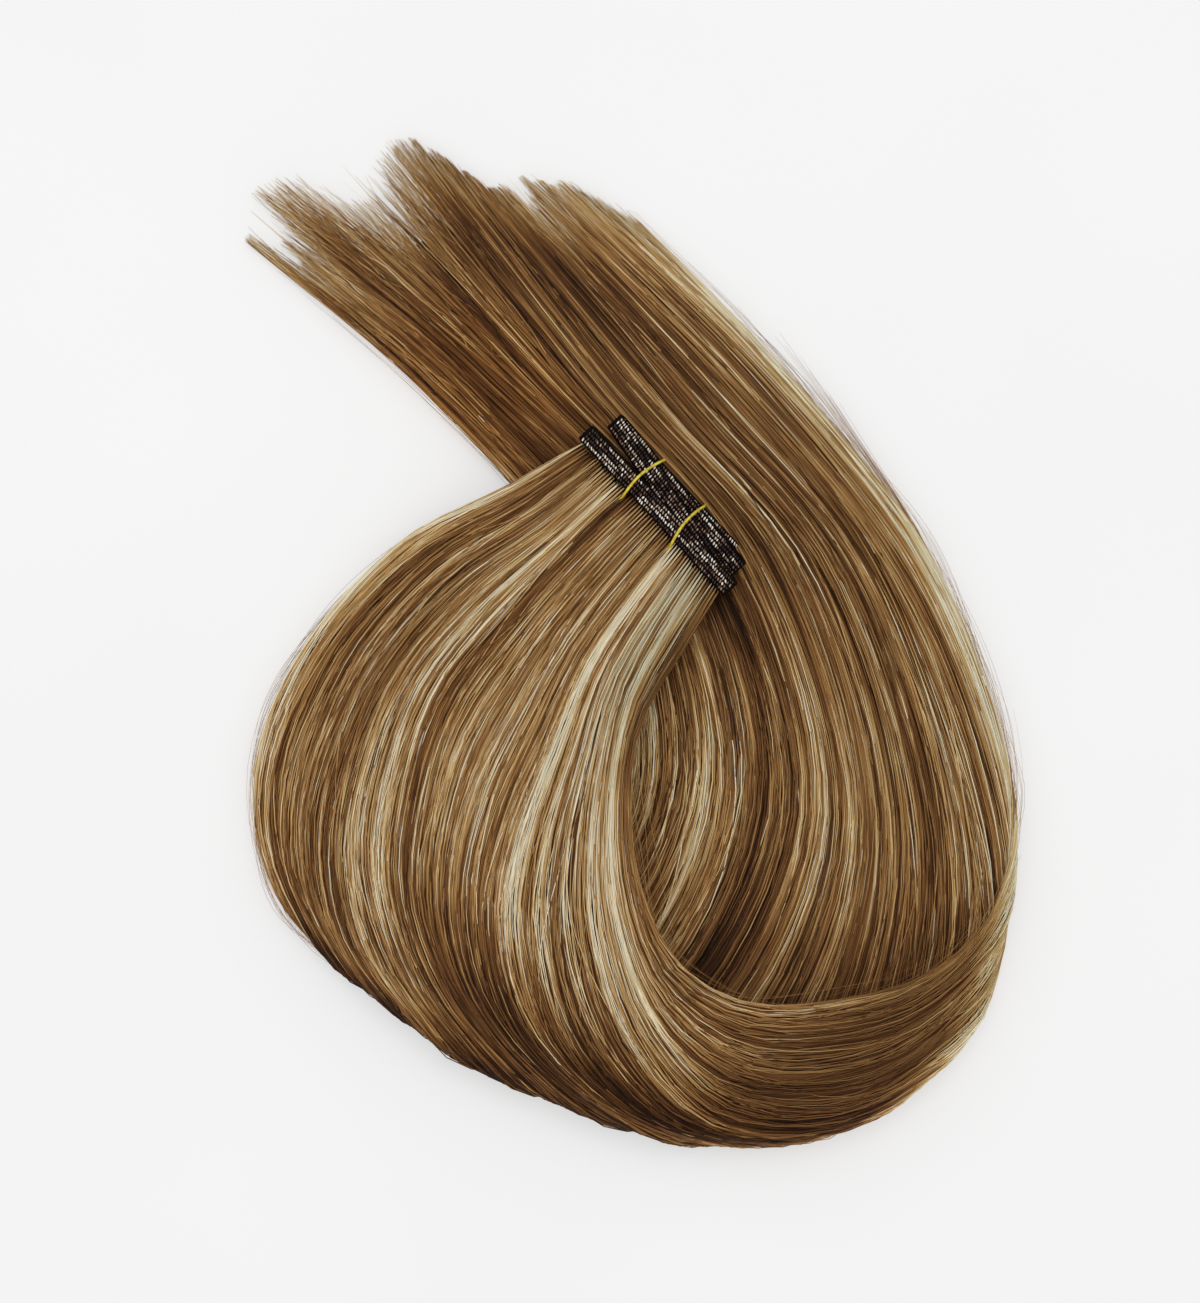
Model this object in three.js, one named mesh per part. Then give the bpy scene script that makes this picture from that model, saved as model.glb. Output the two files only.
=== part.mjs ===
import * as THREE from 'three';

// A machine-made hair weft, lying as it was put down: a sewn track folded to and fro into a
// small stack, two elastic ties round the stack, and the long hair in three locks.
// Lengths are in millimetres, +Z is up, the part lies on Z = 0 and the origin is at the middle
// of its plan. Seen from above, +Y points to the tips.
const PLAN_CENTRE = [0.15, -1.21]; // middle of the plan in the frame of the tables below

// The hair is one curtain. Each guide strand leaves the seam and runs to its tip through
// [x, y, z]. `share` is its place across the curtain, 0 at the left edge and 1 at the right.
// `fold` is the place in the run, in steps from the seam, where the curtain rolls over.
const GUIDES = [
  {
    name: 'left edge',
    share: 0,
    fold: 6.6,
    run: [
      [-33, 41, 12], [-61, 27, 7], [-86, 2, 3.4], [-101, -26, 3], [-104, -52, 3],
      [-95, -77, 3.2], [-73, -93, 3.2], [-45, -94, 3], [-20, -74, 3], [-2, -44, 3],
      [-10, 10, 3], [-55, 66, 3], [-108, 111, 1.2],
    ],
  },
  {
    name: 'left inner',
    share: 1 / 6,
    fold: 7,
    run: [
      [-23, 32, 12.2], [-48, 15, 8], [-70, -10, 4], [-81, -35, 3.4], [-85, -60, 5.5],
      [-78, -87, 12], [-55, -109, 8], [-23, -111, 3], [7, -86, 3], [24, -38, 3],
      [8, 21, 3], [-41, 75, 3], [-103, 127, 1.2],
    ],
  },
  {
    name: 'left parting',
    share: 1 / 3,
    fold: 7,
    run: [
      [-13, 27, 12.6], [-33, 7, 9.5], [-52, -17, 6], [-61, -44, 5], [-63, -72, 7.5],
      [-49, -105, 13.4], [-23, -126, 9], [9, -116, 3], [33, -88, 3], [47, -44, 3],
      [28, 21, 3], [-14, 71, 3], [-67, 139, 1.2],
    ],
  },
  {
    name: 'right parting',
    share: 2 / 3,
    fold: 7.6,
    run: [
      [2, 12, 13], [-11, -7, 12.6], [-21, -30, 11], [-31, -55, 9.5], [-35, -80, 11],
      [-27, -110, 14.2], [1, -134.5, 12], [37, -137.5, 5], [65, -118, 3], [78, -60, 3],
      [57, 17, 3], [18, 64, 3], [-42, 132, 1.2],
    ],
  },
  {
    name: 'right inner',
    share: 5 / 6,
    fold: 8.9,
    run: [
      [9, 3, 13.2], [-1, -16, 12.8], [-6, -38, 12.6], [-8, -60, 12.6], [-6, -84, 12.6],
      [4, -112, 13.8], [26, -134, 13], [63, -135, 11.4], [91, -113, 8], [103, -81, 4],
      [98, -41, 3], [76, 15, 3], [37, 66, 3], [-26, 129, 1.2],
    ],
  },
  {
    name: 'right edge',
    share: 1,
    fold: 9.7,
    run: [
      [16, -4, 13.4], [4, -25, 13], [1, -46, 13], [4, -70, 13], [14, -91, 13],
      [33, -102, 13], [60, -101, 13.6], [83, -94, 14], [101, -77, 13.2], [107.5, -46, 7],
      [88, 16, 3], [51.5, 65, 3], [-7, 126, 1.2],
    ],
  },
];

// Depth of the hair along its run, before the surface below flattens it.
const DEPTHS = [
  { along: 0, depth: 9.4 },
  { along: 0.06, depth: 8 },
  { along: 0.3, depth: 6.6 },
  { along: 0.5, depth: 5.9 },
  { along: 0.62, depth: 8.6 },
  { along: 0.85, depth: 8 },
  { along: 1, depth: 2.6 },
];
const FOLD_HALF = 0.05; // share of the run over which half of the roll takes place
const ROLL_PRESS = 0.85; // share of the inner half of the depth that is pressed flat in the roll
const EDGE_THINNING = 0.55; // share of the depth that a lock loses at its edges
const ROOT_THINNING = 0.08; // the same at the seam, where the hair is held in rows
const LOCK_INSET = 0.4; // each lock stops this far from the surface between it and the next
const FOLD_INSET = 1.2; // the same where the curtain stands on its edge in the roll
const ROOT_INSET = 0.85; // the same at the seam, where a tie passes between
const ROOT_STRETCH = 0.035; // share of the run over which the seam's inset and form fade
const LOCKS = [
  { name: 'hair_lock_left', from: 0, to: 1 / 3, colour: 0x9c7a50 },
  { name: 'hair_lock_middle', from: 1 / 3, to: 2 / 3, colour: 0x86653f },
  { name: 'hair_lock_right', from: 2 / 3, to: 1, colour: 0xb3925f },
];
const MARGIN_LIMIT = 0.06; // the most of the curtain's width that a lock gives up at one edge
const STATIONS = 60;
const COLUMNS = 5;

// The sewn track lies in its own frame: `a` runs along the stack, `b` towards the hair.
const WEFT_CENTRE = [9.9, 34.2];
const WEFT_ALONG = [0.68, -0.733];
const WEFT_BASE = 9.1; // underside of the lowest pass
const SEAM_START = -29; // `a` where the hair's left edge leaves the track
const SEAM_END = 27.5; // `a` where its right edge does
const SEAM_SIDE = 4.5; // `b` of the row in which the hair leaves the track
const SEAM_HEIGHT = 14.2;
const TRACK_WIDTH = 5.4;
const TRACK_THICK = 1.4;
const PASS_PITCH = 1.75;
const FOLD_STEPS = 8;
const PASS_STOPS = [-9.2, 6]; // `a` of the sections of each pass just inside the two ties
// One row for each pass, from the lowest to the top one, with its two ends in the stack.
const PASSES = [
  { leftA: -19.6, leftB: -6.2, rightA: 21.3, rightB: -6.6 },
  { leftA: -19.6, leftB: -6.7, rightA: 25.2, rightB: -4.8 },
  { leftA: -26, leftB: -7.3, rightA: 25.2, rightB: -4.2 },
  { leftA: -26, leftB: -6.7, rightA: 27.7, rightB: 0.9 },
  { leftA: -29, leftB: 0.8, rightA: 27.7, rightB: 1.3 },
  { leftA: -29, leftB: 1.2, rightA: 14, rightB: 1.2 },
];

// The ties are round elastic bands, drawn tight round the stack and the hair roots beside it.
// `lean` slants a tie in plan, and its upper side bows a little to the left.
const TIE_RADIUS = 0.38;
const TIE_CLEAR = 0.27;
const TIE_BOW = 1.1;
const TIE_BOW_SHARE = 0.85; // share of the tie's reach, from the far side, over which it bows
const TIE_BOW_HEIGHT = [12, 16]; // the bow sets in between these heights
const TIE_SIDES = 8;
const TIE_ROUNDING = 16; // directions that round each corner
const TIE_SHORTEST = 0.15; // shortest step along the tie
const TIE_LONGEST = 2;
const TIE_HAIR = [[7.4, 15.2], [7.2, 12], [5.6, 9.4]]; // `b` and height of the roots it takes in
const TIES = [
  { name: 'tie_upper', at: -10.1, lean: -0.02 },
  { name: 'tie_lower', at: 8.1, lean: 0.12 },
];

const UP = new THREE.Vector3(0, 0, 1);

function smooth(value) {
  const t = THREE.MathUtils.clamp(value, 0, 1);
  return t * t * (3 - 2 * t);
}

// Value of a table of rows at a place between two of them.
function tableAt(rows, key, value, place) {
  for (let i = 1; i < rows.length; i += 1) {
    if (place <= rows[i][key]) {
      const t = (place - rows[i - 1][key]) / (rows[i][key] - rows[i - 1][key]);
      return THREE.MathUtils.lerp(rows[i - 1][value], rows[i][value], smooth(t));
    }
  }
  return rows[rows.length - 1][value];
}

// A place in the stack's frame, given in the part's frame.
function weftPoint(a, b, z) {
  const [alongX, alongY] = WEFT_ALONG;
  const x = WEFT_CENTRE[0] + a * alongX + b * alongY;
  const y = WEFT_CENTRE[1] + a * alongY - b * alongX;
  return new THREE.Vector3(x, y, z);
}

const guideCurves = GUIDES.map((guide) => {
  const seamA = THREE.MathUtils.lerp(SEAM_START, SEAM_END, guide.share);
  const points = guide.run.map(([x, y, z]) => new THREE.Vector3(x, y, z));
  points.unshift(weftPoint(seamA, SEAM_SIDE, SEAM_HEIGHT));
  return new THREE.CatmullRomCurve3(points, false, 'centripetal');
});

// Share of the length of each guide at which the curtain stands on its edge there.
const foldPlaces = GUIDES.map((guide, i) => {
  const steps = guide.run.length * 20;
  const lengths = guideCurves[i].getLengths(steps);
  return lengths[Math.round(guide.fold * 20)] / lengths[steps];
});

// Smooth value across the guides, for a list with one number for each guide.
function acrossGuides(values, share) {
  const last = GUIDES.length - 1;
  let k = 0;
  while (k < last - 1 && share > GUIDES[k + 1].share) {
    k += 1;
  }
  const slope = (i) => {
    const low = Math.max(i - 1, 0);
    const high = Math.min(i + 1, last);
    return (values[high] - values[low]) / (GUIDES[high].share - GUIDES[low].share);
  };
  const width = GUIDES[k + 1].share - GUIDES[k].share;
  const t = (share - GUIDES[k].share) / width;
  const t2 = t * t;
  const t3 = t2 * t;
  const start = (2 * t3 - 3 * t2 + 1) * values[k] + (t3 - 2 * t2 + t) * width * slope(k);
  return start + (3 * t2 - 2 * t3) * values[k + 1] + (t3 - t2) * width * slope(k + 1);
}

// The six guides at each station, so that a lock only blends between them.
const stationPoints = Array.from({ length: STATIONS + 1 }, (unused, i) => {
  return guideCurves.map((curve) => curve.getPointAt(i / STATIONS));
});
const stationTangents = Array.from({ length: STATIONS + 1 }, (unused, i) => {
  return guideCurves.map((curve) => curve.getTangentAt(i / STATIONS));
});

function blend(vectors, share) {
  return new THREE.Vector3(
    acrossGuides(vectors.map((v) => v.x), share),
    acrossGuides(vectors.map((v) => v.y), share),
    acrossGuides(vectors.map((v) => v.z), share),
  );
}

// Angle that the curtain has rolled over by at a place in it.
function rollAt(station, share) {
  const middle = acrossGuides(foldPlaces, share);
  return Math.PI * smooth((station / STATIONS - middle + FOLD_HALF) / (2 * FOLD_HALF));
}

// Direction through the depth of the curtain: up in the fan, outwards in the roll, then down.
function depthDirection(station, share) {
  const roll = rollAt(station, share);
  const outwards = blend(stationTangents[station], share).cross(UP).normalize();
  return UP.clone().multiplyScalar(Math.cos(roll)).addScaledVector(outwards, Math.sin(roll));
}

// Closed body from rings of equal count; each ring lists its upper row, then its lower row back.
function bodyFromRings(rings, closedLoop) {
  const count = rings[0].length;
  const positions = rings.flat().flatMap((p) => [p.x, p.y, p.z]);
  const index = [];
  const spans = closedLoop ? rings.length : rings.length - 1;
  for (let i = 0; i < spans; i += 1) {
    const next = (i + 1) % rings.length;
    for (let j = 0; j < count; j += 1) {
      const k = (j + 1) % count;
      const a = i * count + j;
      const b = i * count + k;
      const c = next * count + k;
      const d = next * count + j;
      index.push(a, b, c, a, c, d);
    }
  }
  if (!closedLoop) {
    const end = (rings.length - 1) * count;
    for (let j = 0; j < count / 2 - 1; j += 1) {
      const k = count - 1 - j;
      index.push(j, k, k - 1, j, k - 1, j + 1);
      index.push(end + j, end + k - 1, end + k, end + j, end + j + 1, end + k - 1);
    }
  }
  const geometry = new THREE.BufferGeometry();
  geometry.setAttribute('position', new THREE.Float32BufferAttribute(positions, 3));
  geometry.setIndex(index);
  geometry.computeVertexNormals();
  return geometry;
}

// 1 at the seam, falling to 0 where the hair is free of it.
function rootShare(station) {
  return 1 - smooth(station / STATIONS / ROOT_STRETCH);
}

// Share of the curtain that keeps a lock clear of the surface between two locks.
function marginAt(station, share, towards) {
  const step = 0.02;
  const atRoot = rootShare(station);
  const onEdge = Math.sin(rollAt(station, share));
  const plain = THREE.MathUtils.lerp(LOCK_INSET, FOLD_INSET, onEdge);
  const inset = THREE.MathUtils.lerp(plain, ROOT_INSET, atRoot);
  const here = blend(stationPoints[station], share);
  const beside = blend(stationPoints[station], share + towards * step);
  const tangent = blend(stationTangents[station], share).normalize();
  const sideways = tangent.cross(depthDirection(station, share)).normalize();
  const reach = Math.abs(beside.sub(here).dot(sideways)) / step;
  return Math.min(inset / reach, MARGIN_LIMIT);
}

function lockRing(lock, station) {
  const thinning = THREE.MathUtils.lerp(EDGE_THINNING, ROOT_THINNING, rootShare(station));
  const depth = tableAt(DEPTHS, 'along', 'depth', station / STATIONS);
  const first = lock.from + marginAt(station, lock.from, 1);
  const last = lock.to - marginAt(station, lock.to, -1);
  const upper = [];
  const lower = [];
  for (let j = 0; j <= COLUMNS; j += 1) {
    const place = j / COLUMNS;
    const share = THREE.MathUtils.lerp(first, last, place);
    const form = 1 - thinning * Math.abs(2 * place - 1) ** 2.5;
    const half = depthDirection(station, share).multiplyScalar(depth * form / 2);
    const centre = blend(stationPoints[station], share);
    const top = centre.clone().add(half);
    const press = 1 - ROLL_PRESS * Math.sin(rollAt(station, share));
    const bottom = centre.clone().addScaledVector(half, -press);
    top.z = Math.max(top.z, 0);
    bottom.z = Math.max(bottom.z, 0);
    upper.push(top);
    lower.unshift(bottom);
  }
  return [...upper, ...lower];
}

function hairLock(lock) {
  const rings = [];
  for (let station = 0; station <= STATIONS; station += 1) {
    rings.push(lockRing(lock, station));
  }
  return bodyFromRings(rings, false);
}

// Section of the track at one place: `lift` and `run` give the direction through its thickness.
function trackRing(a, b, z, run, lift) {
  const half = TRACK_THICK / 2;
  const side = TRACK_WIDTH / 2;
  return [
    weftPoint(a + run * half, b - side, z + lift * half),
    weftPoint(a + run * half, b + side, z + lift * half),
    weftPoint(a - run * half, b + side, z - lift * half),
    weftPoint(a - run * half, b - side, z - lift * half),
  ];
}

function weftStrip() {
  const rings = [];
  const radius = PASS_PITCH / 2;
  PASSES.forEach((pass, i) => {
    const z = WEFT_BASE + TRACK_THICK / 2 + i * PASS_PITCH;
    const leftwards = i % 2 === 0;
    const lift = leftwards ? 1 : -1;
    const start = leftwards ? [pass.rightA, pass.rightB] : [pass.leftA, pass.leftB];
    const stop = leftwards ? [pass.leftA, pass.leftB] : [pass.rightA, pass.rightB];
    rings.push(trackRing(start[0], start[1], z, 0, lift));
    const stops = leftwards ? [...PASS_STOPS].reverse() : PASS_STOPS;
    stops.forEach((a) => {
      const b = THREE.MathUtils.mapLinear(a, start[0], stop[0], start[1], stop[1]);
      rings.push(trackRing(a, b, z, 0, lift));
    });
    rings.push(trackRing(stop[0], stop[1], z, 0, lift));
    if (i < PASSES.length - 1) {
      const nextB = leftwards ? PASSES[i + 1].leftB : PASSES[i + 1].rightB;
      const outwards = leftwards ? -1 : 1;
      for (let k = 1; k < FOLD_STEPS; k += 1) {
        const turn = Math.PI * k / FOLD_STEPS;
        const a = stop[0] + outwards * radius * Math.sin(turn);
        const b = THREE.MathUtils.lerp(stop[1], nextB, k / FOLD_STEPS);
        const towardsAxis = -outwards * lift * Math.sin(turn);
        const height = z + radius * (1 - Math.cos(turn));
        rings.push(trackRing(a, b, height, towardsAxis, lift * Math.cos(turn)));
      }
    }
  });
  return bodyFromRings(rings, false);
}

// Closed line [b, z] round points that each stand for a round rod of this radius.
function tightLoop(points, radius) {
  const rims = points.flatMap(([b, z]) => Array.from({ length: TIE_ROUNDING }, (unused, k) => {
    const turn = 2 * Math.PI * k / TIE_ROUNDING;
    return [b + radius * Math.cos(turn), z + radius * Math.sin(turn)];
  }));
  rims.sort((p, q) => p[0] - q[0] || p[1] - q[1]);
  const bends = (p, q, r) => (q[0] - p[0]) * (r[1] - p[1]) - (q[1] - p[1]) * (r[0] - p[0]);
  const half = (list) => {
    const chain = [];
    list.forEach((spot) => {
      while (chain.length > 1 && bends(chain.at(-2), chain.at(-1), spot) <= 1e-9) {
        chain.pop();
      }
      chain.push(spot);
    });
    return chain.slice(0, -1);
  };
  return [...half(rims), ...half([...rims].reverse())];
}

// The same line in steps that are neither very short nor very long.
function evenLoop(loop) {
  const kept = loop.filter((spot, i) => {
    const before = loop[(i + loop.length - 1) % loop.length];
    return Math.hypot(spot[0] - before[0], spot[1] - before[1]) >= TIE_SHORTEST;
  });
  return kept.flatMap((spot, i) => {
    const next = kept[(i + 1) % kept.length];
    const steps = Math.ceil(Math.hypot(next[0] - spot[0], next[1] - spot[1]) / TIE_LONGEST);
    return Array.from({ length: steps }, (unused, k) => [
      THREE.MathUtils.lerp(spot[0], next[0], k / steps),
      THREE.MathUtils.lerp(spot[1], next[1], k / steps),
    ]);
  });
}

// The corners of each pass where a tie crosses it.
function heldByTie(at) {
  const crossed = PASSES.map((pass, i) => ({ ...pass, z: WEFT_BASE + i * PASS_PITCH }));
  return crossed.filter((pass) => pass.leftA < at && at < pass.rightA).flatMap((pass) => {
    const b = THREE.MathUtils.mapLinear(at, pass.leftA, pass.rightA, pass.leftB, pass.rightB);
    const side = TRACK_WIDTH / 2;
    const top = pass.z + TRACK_THICK;
    return [[b - side, pass.z], [b + side, pass.z], [b - side, top], [b + side, top]];
  });
}

function tie(row) {
  const loop = evenLoop(tightLoop([...heldByTie(row.at), ...TIE_HAIR], TIE_CLEAR + TIE_RADIUS));
  const far = Math.min(...loop.map(([b]) => b));
  const reach = Math.max(...loop.map(([b]) => b)) - far;
  const rings = loop.map(([b, z], i) => {
    const before = loop[(i + loop.length - 1) % loop.length];
    const after = loop[(i + 1) % loop.length];
    const outwards = new THREE.Vector2(after[1] - before[1], before[0] - after[0]).normalize();
    const share = Math.min((b - far) / reach / TIE_BOW_SHARE, 1);
    const [bowLow, bowHigh] = TIE_BOW_HEIGHT;
    const bow = TIE_BOW * Math.sin(Math.PI * share) * smooth((z - bowLow) / (bowHigh - bowLow));
    return Array.from({ length: TIE_SIDES }, (unused, j) => {
      const angle = 2 * Math.PI * j / TIE_SIDES;
      const out = TIE_RADIUS * Math.cos(angle);
      const a = row.at + row.lean * b - bow + TIE_RADIUS * Math.sin(angle);
      return weftPoint(a, b + out * outwards.x, z + out * outwards.y);
    });
  });
  return bodyFromRings(rings, true);
}

// Faces of a body point outwards once its signed volume is positive.
function facingOut(geometry) {
  const position = geometry.getAttribute('position');
  const index = geometry.getIndex();
  const a = new THREE.Vector3();
  const b = new THREE.Vector3();
  const c = new THREE.Vector3();
  let volume = 0;
  for (let i = 0; i < index.count; i += 3) {
    a.fromBufferAttribute(position, index.getX(i));
    b.fromBufferAttribute(position, index.getX(i + 1));
    c.fromBufferAttribute(position, index.getX(i + 2));
    volume += a.dot(b.cross(c)) / 6;
  }
  if (volume < 0) {
    for (let i = 0; i < index.count; i += 3) {
      const second = index.getX(i + 1);
      index.setX(i + 1, index.getX(i + 2));
      index.setX(i + 2, second);
    }
  }
  geometry.computeVertexNormals();
  return geometry;
}

function namedMesh(name, geometry, look) {
  const mesh = new THREE.Mesh(facingOut(geometry), new THREE.MeshStandardMaterial(look));
  mesh.name = name;
  mesh.position.set(-PLAN_CENTRE[0], -PLAN_CENTRE[1], 0);
  return mesh;
}

const part = new THREE.Group();
part.name = 'hair_weft';
LOCKS.forEach((lock) => {
  part.add(namedMesh(lock.name, hairLock(lock), { color: lock.colour, roughness: 0.5 }));
});
part.add(namedMesh('weft_strip', weftStrip(), { color: 0x2a1c1a, roughness: 0.9 }));
TIES.forEach((row) => {
  part.add(namedMesh(row.name, tie(row), { color: 0xd8c21e, roughness: 0.35 }));
});

export default part;
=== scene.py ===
"""Looks of a hair weft that lies in a loop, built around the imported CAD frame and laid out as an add-on."""
import math

import bpy
import numpy as np
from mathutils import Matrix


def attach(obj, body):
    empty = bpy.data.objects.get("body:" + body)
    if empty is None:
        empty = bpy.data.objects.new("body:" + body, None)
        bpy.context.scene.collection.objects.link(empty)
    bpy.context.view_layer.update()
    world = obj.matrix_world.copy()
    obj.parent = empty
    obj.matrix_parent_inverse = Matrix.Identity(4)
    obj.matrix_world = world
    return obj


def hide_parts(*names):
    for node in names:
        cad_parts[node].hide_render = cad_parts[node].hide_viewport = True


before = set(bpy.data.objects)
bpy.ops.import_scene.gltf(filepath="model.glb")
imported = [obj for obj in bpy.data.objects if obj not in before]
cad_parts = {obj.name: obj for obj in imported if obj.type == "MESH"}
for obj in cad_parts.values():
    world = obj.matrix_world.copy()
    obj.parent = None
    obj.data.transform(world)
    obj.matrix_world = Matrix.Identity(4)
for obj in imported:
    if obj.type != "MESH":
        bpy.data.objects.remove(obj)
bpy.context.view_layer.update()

bl_info = {
    "name": "Hair Weft",
    "version": (1, 0, 0),
    "blender": (4, 5, 0),
    "location": "View3D > Sidebar > Hair Weft",
    "description": "Strands, sewn track, elastic ties and stage of a looped hair weft",
    "category": "Object",
}

MM = 0.001
BODY = "root"
BAKE_MAP = "OFBake"

# Seeds of the random draws.
FAN_SEED = 41
TAIL_SEED = 51
STRAY_SEED = 71
WISP_SEED = 91
STITCH_SEED = 101
BAR_SEED = 111
FAN_RELIEF_SEED = 141
TAIL_RELIEF_SEED = 151
FAN_TONE_SEED = 241
TAIL_TONE_SEED = 251


# Windows: functions of a place that are 1 where the window is open and 0 where it is shut.


def smooth(t):
    """Eased step from 0 to 1."""
    t = np.clip(t, 0, 1)
    return t * t * (3 - 2 * t)


def rise(start, ramp):
    """Window that begins to open at a place."""
    return lambda place: smooth((place - start) / ramp)


def fall(stop, ramp):
    """Window that is shut from a place on."""
    return lambda place: smooth((stop - place) / ramp)


def hump(middle, width):
    """Window that is open round a place."""
    return lambda place: np.exp(-(((place - middle) / width) ** 2))


def fringe(edge, width):
    """Window that is open at an edge and soon fades."""
    return lambda place: np.exp(-np.abs(place - edge) / width)


def both(one, other):
    """Window that is open where two windows are."""
    return lambda place: one(place) * other(place)


def everywhere(place):
    """Window that is always open."""
    return 1.0


# The sewn track, in millimetres. Routes lie in the plane of the table, and PLAN_CENTRE is the part's origin.

PLAN_CENTRE = np.array([0.15, -1.21, 0.0])
WEFT_CENTRE = (9.9, 34.2)
WEFT_ALONG = (0.68, -0.733)
WEFT_BASE = 9.1
SEAM_START = -29.0
SEAM_END = 27.5
SEAM_SIDE = 4.5
SEAM_HEIGHT = 14.2
TRACK_WIDTH = 5.4
TRACK_THICK = 1.4
PASS_PITCH = 1.75
PASS_STEPS = 26
BEND_STEPS = 10
# Each pass from the table up: its left end along and across the weft, then its right end.
PASSES = (
    (-19.6, -6.2, 21.3, -6.6),
    (-19.6, -6.7, 25.2, -4.8),
    (-26.0, -7.3, 25.2, -4.2),
    (-26.0, -6.7, 27.7, 0.9),
    (-29.0, 0.8, 27.7, 1.3),
    (-29.0, 1.2, 14.0, 1.2),
)

# Faces of the track: half its mean thickness, height and number of its ribs, and how its edges round off.
FACE_STEPS = 25
FACE_HALF = 0.5
RIB_HEIGHT = 0.09
RIBS = 4
EDGE_ROUNDING = 0.5
EDGE_POWER = 8

# Rows on the faces: thread on the even ones and bars of hair on the odd ones.
ROW_COUNT = 9
ROW_PITCH = 0.6
ROW_START = 0.3
ROW_STOP = 0.2
ROW_MARGIN = 0.1
ROW_HEIGHT = 0.55
BEND_REACH = 0.75  # how far the rows go round the bends
BEND_RADIUS = 1.42  # of the rows in the bends
ROW_SCATTER = (0.07, 0.05, 0.03)  # along, across and up
# Kinds of stitch: slant and its spread in radians, and half of the length, width and height.
THREAD_KNOT = {"slant": (0.35, 0.12), "length": (0.42, 0.5), "width": (0.22, 0.28), "height": 0.26}
ROOT_BAR = {"slant": (0.45, 0.2), "length": (0.45, 0.7), "width": (0.24, 0.33), "height": 0.4}
SEAM_TOOTH = {"slant": (0.1, 0.12), "length": (0.6, 1.0), "width": (0.13, 0.19), "height": 0.2}
KNOT_TONE = 0.1
# Tone of the bars: its mean, its change over cells of a pass, and its change from bar to bar.
BAR_TONES = (0.42, 0.75, 0.25)
BAR_TONE_RANGE = (0.03, 0.97)
BAR_CELLS = (9, 12)
BAR_ORIGIN = 30.0
BAR_SPAN = 60.0
# Teeth of thread over the hair: pitch, scatter, place past the track's edge and depth below its middle.
TOOTH_PITCH = 0.8
TOOTH_SCATTER = 0.08
TOOTH_PAST = 0.35
TOOTH_BELOW = 0.35
STITCH_MAP_REPEATS = 40  # times that the bake's map repeats in a metre of stitches
STITCH_SIDES = 6

# The elastic ties: place along the weft and lean, and how far their middle line stands off what they hold.
TIES = (("upper", -10.1, -0.02), ("lower", 8.1, 0.12))
TIE_CLEAR = 0.65
# Hair that the ties take in beside the track: distance to the hair side, and height.
TIE_HAIR = ((7.4, 15.2), (7.2, 12.0), (5.6, 9.4))
TIE_BOW = 1.1
TIE_BOW_SHARE = 0.85  # share of the tie's reach over which its upper side bows
TIE_BOW_HEIGHT = rise(12, 4)
TIE_ROUNDING = 24
TIE_STEPS = 150
TIE_SIDES = 10
TIE_RIB_PITCH = 0.8
TIE_RIB_SHARE = 0.05
TIE_TONE = 0.5

# Guide strands from seam to tips: share of the seam, steps to the turn-over, and points after the seam.
GUIDES = (
    (0.0, 6.6, (
        (-33, 41, 12), (-61, 27, 7), (-86, 2, 3.4), (-101, -26, 3), (-104, -52, 3),
        (-95, -77, 3.2), (-73, -93, 3.2), (-45, -94, 3), (-20, -74, 3), (-2, -44, 3),
        (-10, 10, 3), (-55, 66, 3), (-108, 111, 1.2))),
    (1 / 6, 7.0, (
        (-23, 32, 12.2), (-48, 15, 8), (-70, -10, 4), (-81, -35, 3.4), (-85, -60, 5.5),
        (-78, -87, 12), (-55, -109, 8), (-23, -111, 3), (7, -86, 3), (24, -38, 3),
        (8, 21, 3), (-41, 75, 3), (-103, 127, 1.2))),
    (1 / 3, 7.0, (
        (-13, 27, 12.6), (-33, 7, 9.5), (-52, -17, 6), (-61, -44, 5), (-63, -72, 7.5),
        (-49, -105, 13.4), (-23, -126, 9), (9, -116, 3), (33, -88, 3), (47, -44, 3),
        (28, 21, 3), (-14, 71, 3), (-67, 139, 1.2))),
    (2 / 3, 7.6, (
        (2, 12, 13), (-11, -7, 12.6), (-21, -30, 11), (-31, -55, 9.5), (-35, -80, 11),
        (-27, -110, 14.2), (1, -134.5, 12), (37, -137.5, 5), (65, -118, 3), (78, -60, 3),
        (57, 17, 3), (18, 64, 3), (-42, 132, 1.2))),
    (5 / 6, 8.9, (
        (9, 3, 13.2), (-1, -16, 12.8), (-6, -38, 12.6), (-8, -60, 12.6), (-6, -84, 12.6),
        (4, -112, 13.8), (26, -134, 13), (63, -135, 11.4), (91, -113, 8), (103, -81, 4),
        (98, -41, 3), (76, 15, 3), (37, 66, 3), (-26, 129, 1.2))),
    (1.0, 9.7, (
        (16, -4, 13.4), (4, -25, 13), (1, -46, 13), (4, -70, 13), (14, -91, 13),
        (33, -102, 13), (60, -101, 13.6), (83, -94, 14), (101, -77, 13.2), (107.5, -46, 7),
        (88, 16, 3), (51.5, 65, 3), (-7, 126, 1.2))),
)
GUIDE_STEPS = 24  # fine steps between two points of a guide
STATIONS = np.linspace(0, 1, 321)
LOCKS = (("left", 0.0, 1 / 3), ("middle", 1 / 3, 2 / 3), ("right", 2 / 3, 1.0))
# From here on a place along the hair is a share of its length, and a place across it a share of its width.
# Thickness of the hair in millimetres at places along it.
DEPTHS = ((0, 9.4), (0.06, 8), (0.3, 6.6), (0.5, 5.9), (0.62, 8.6), (0.85, 8), (1, 2.6))
FOLD_HALF = 0.05  # half of the length over which the hair rolls over
ROLL_PRESS = 0.85  # share of the inner half of the thickness that is pressed flat in the roll
EDGE_THINNING = 0.55  # share of the thickness lost at the outer edges
PARTING_THINNING = (0.1, 0.34)  # the same at the partings, and what is added towards the seam
PARTING_OPEN = fall(0.42, 0.25)
PARTING_POWER = 2.5
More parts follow.
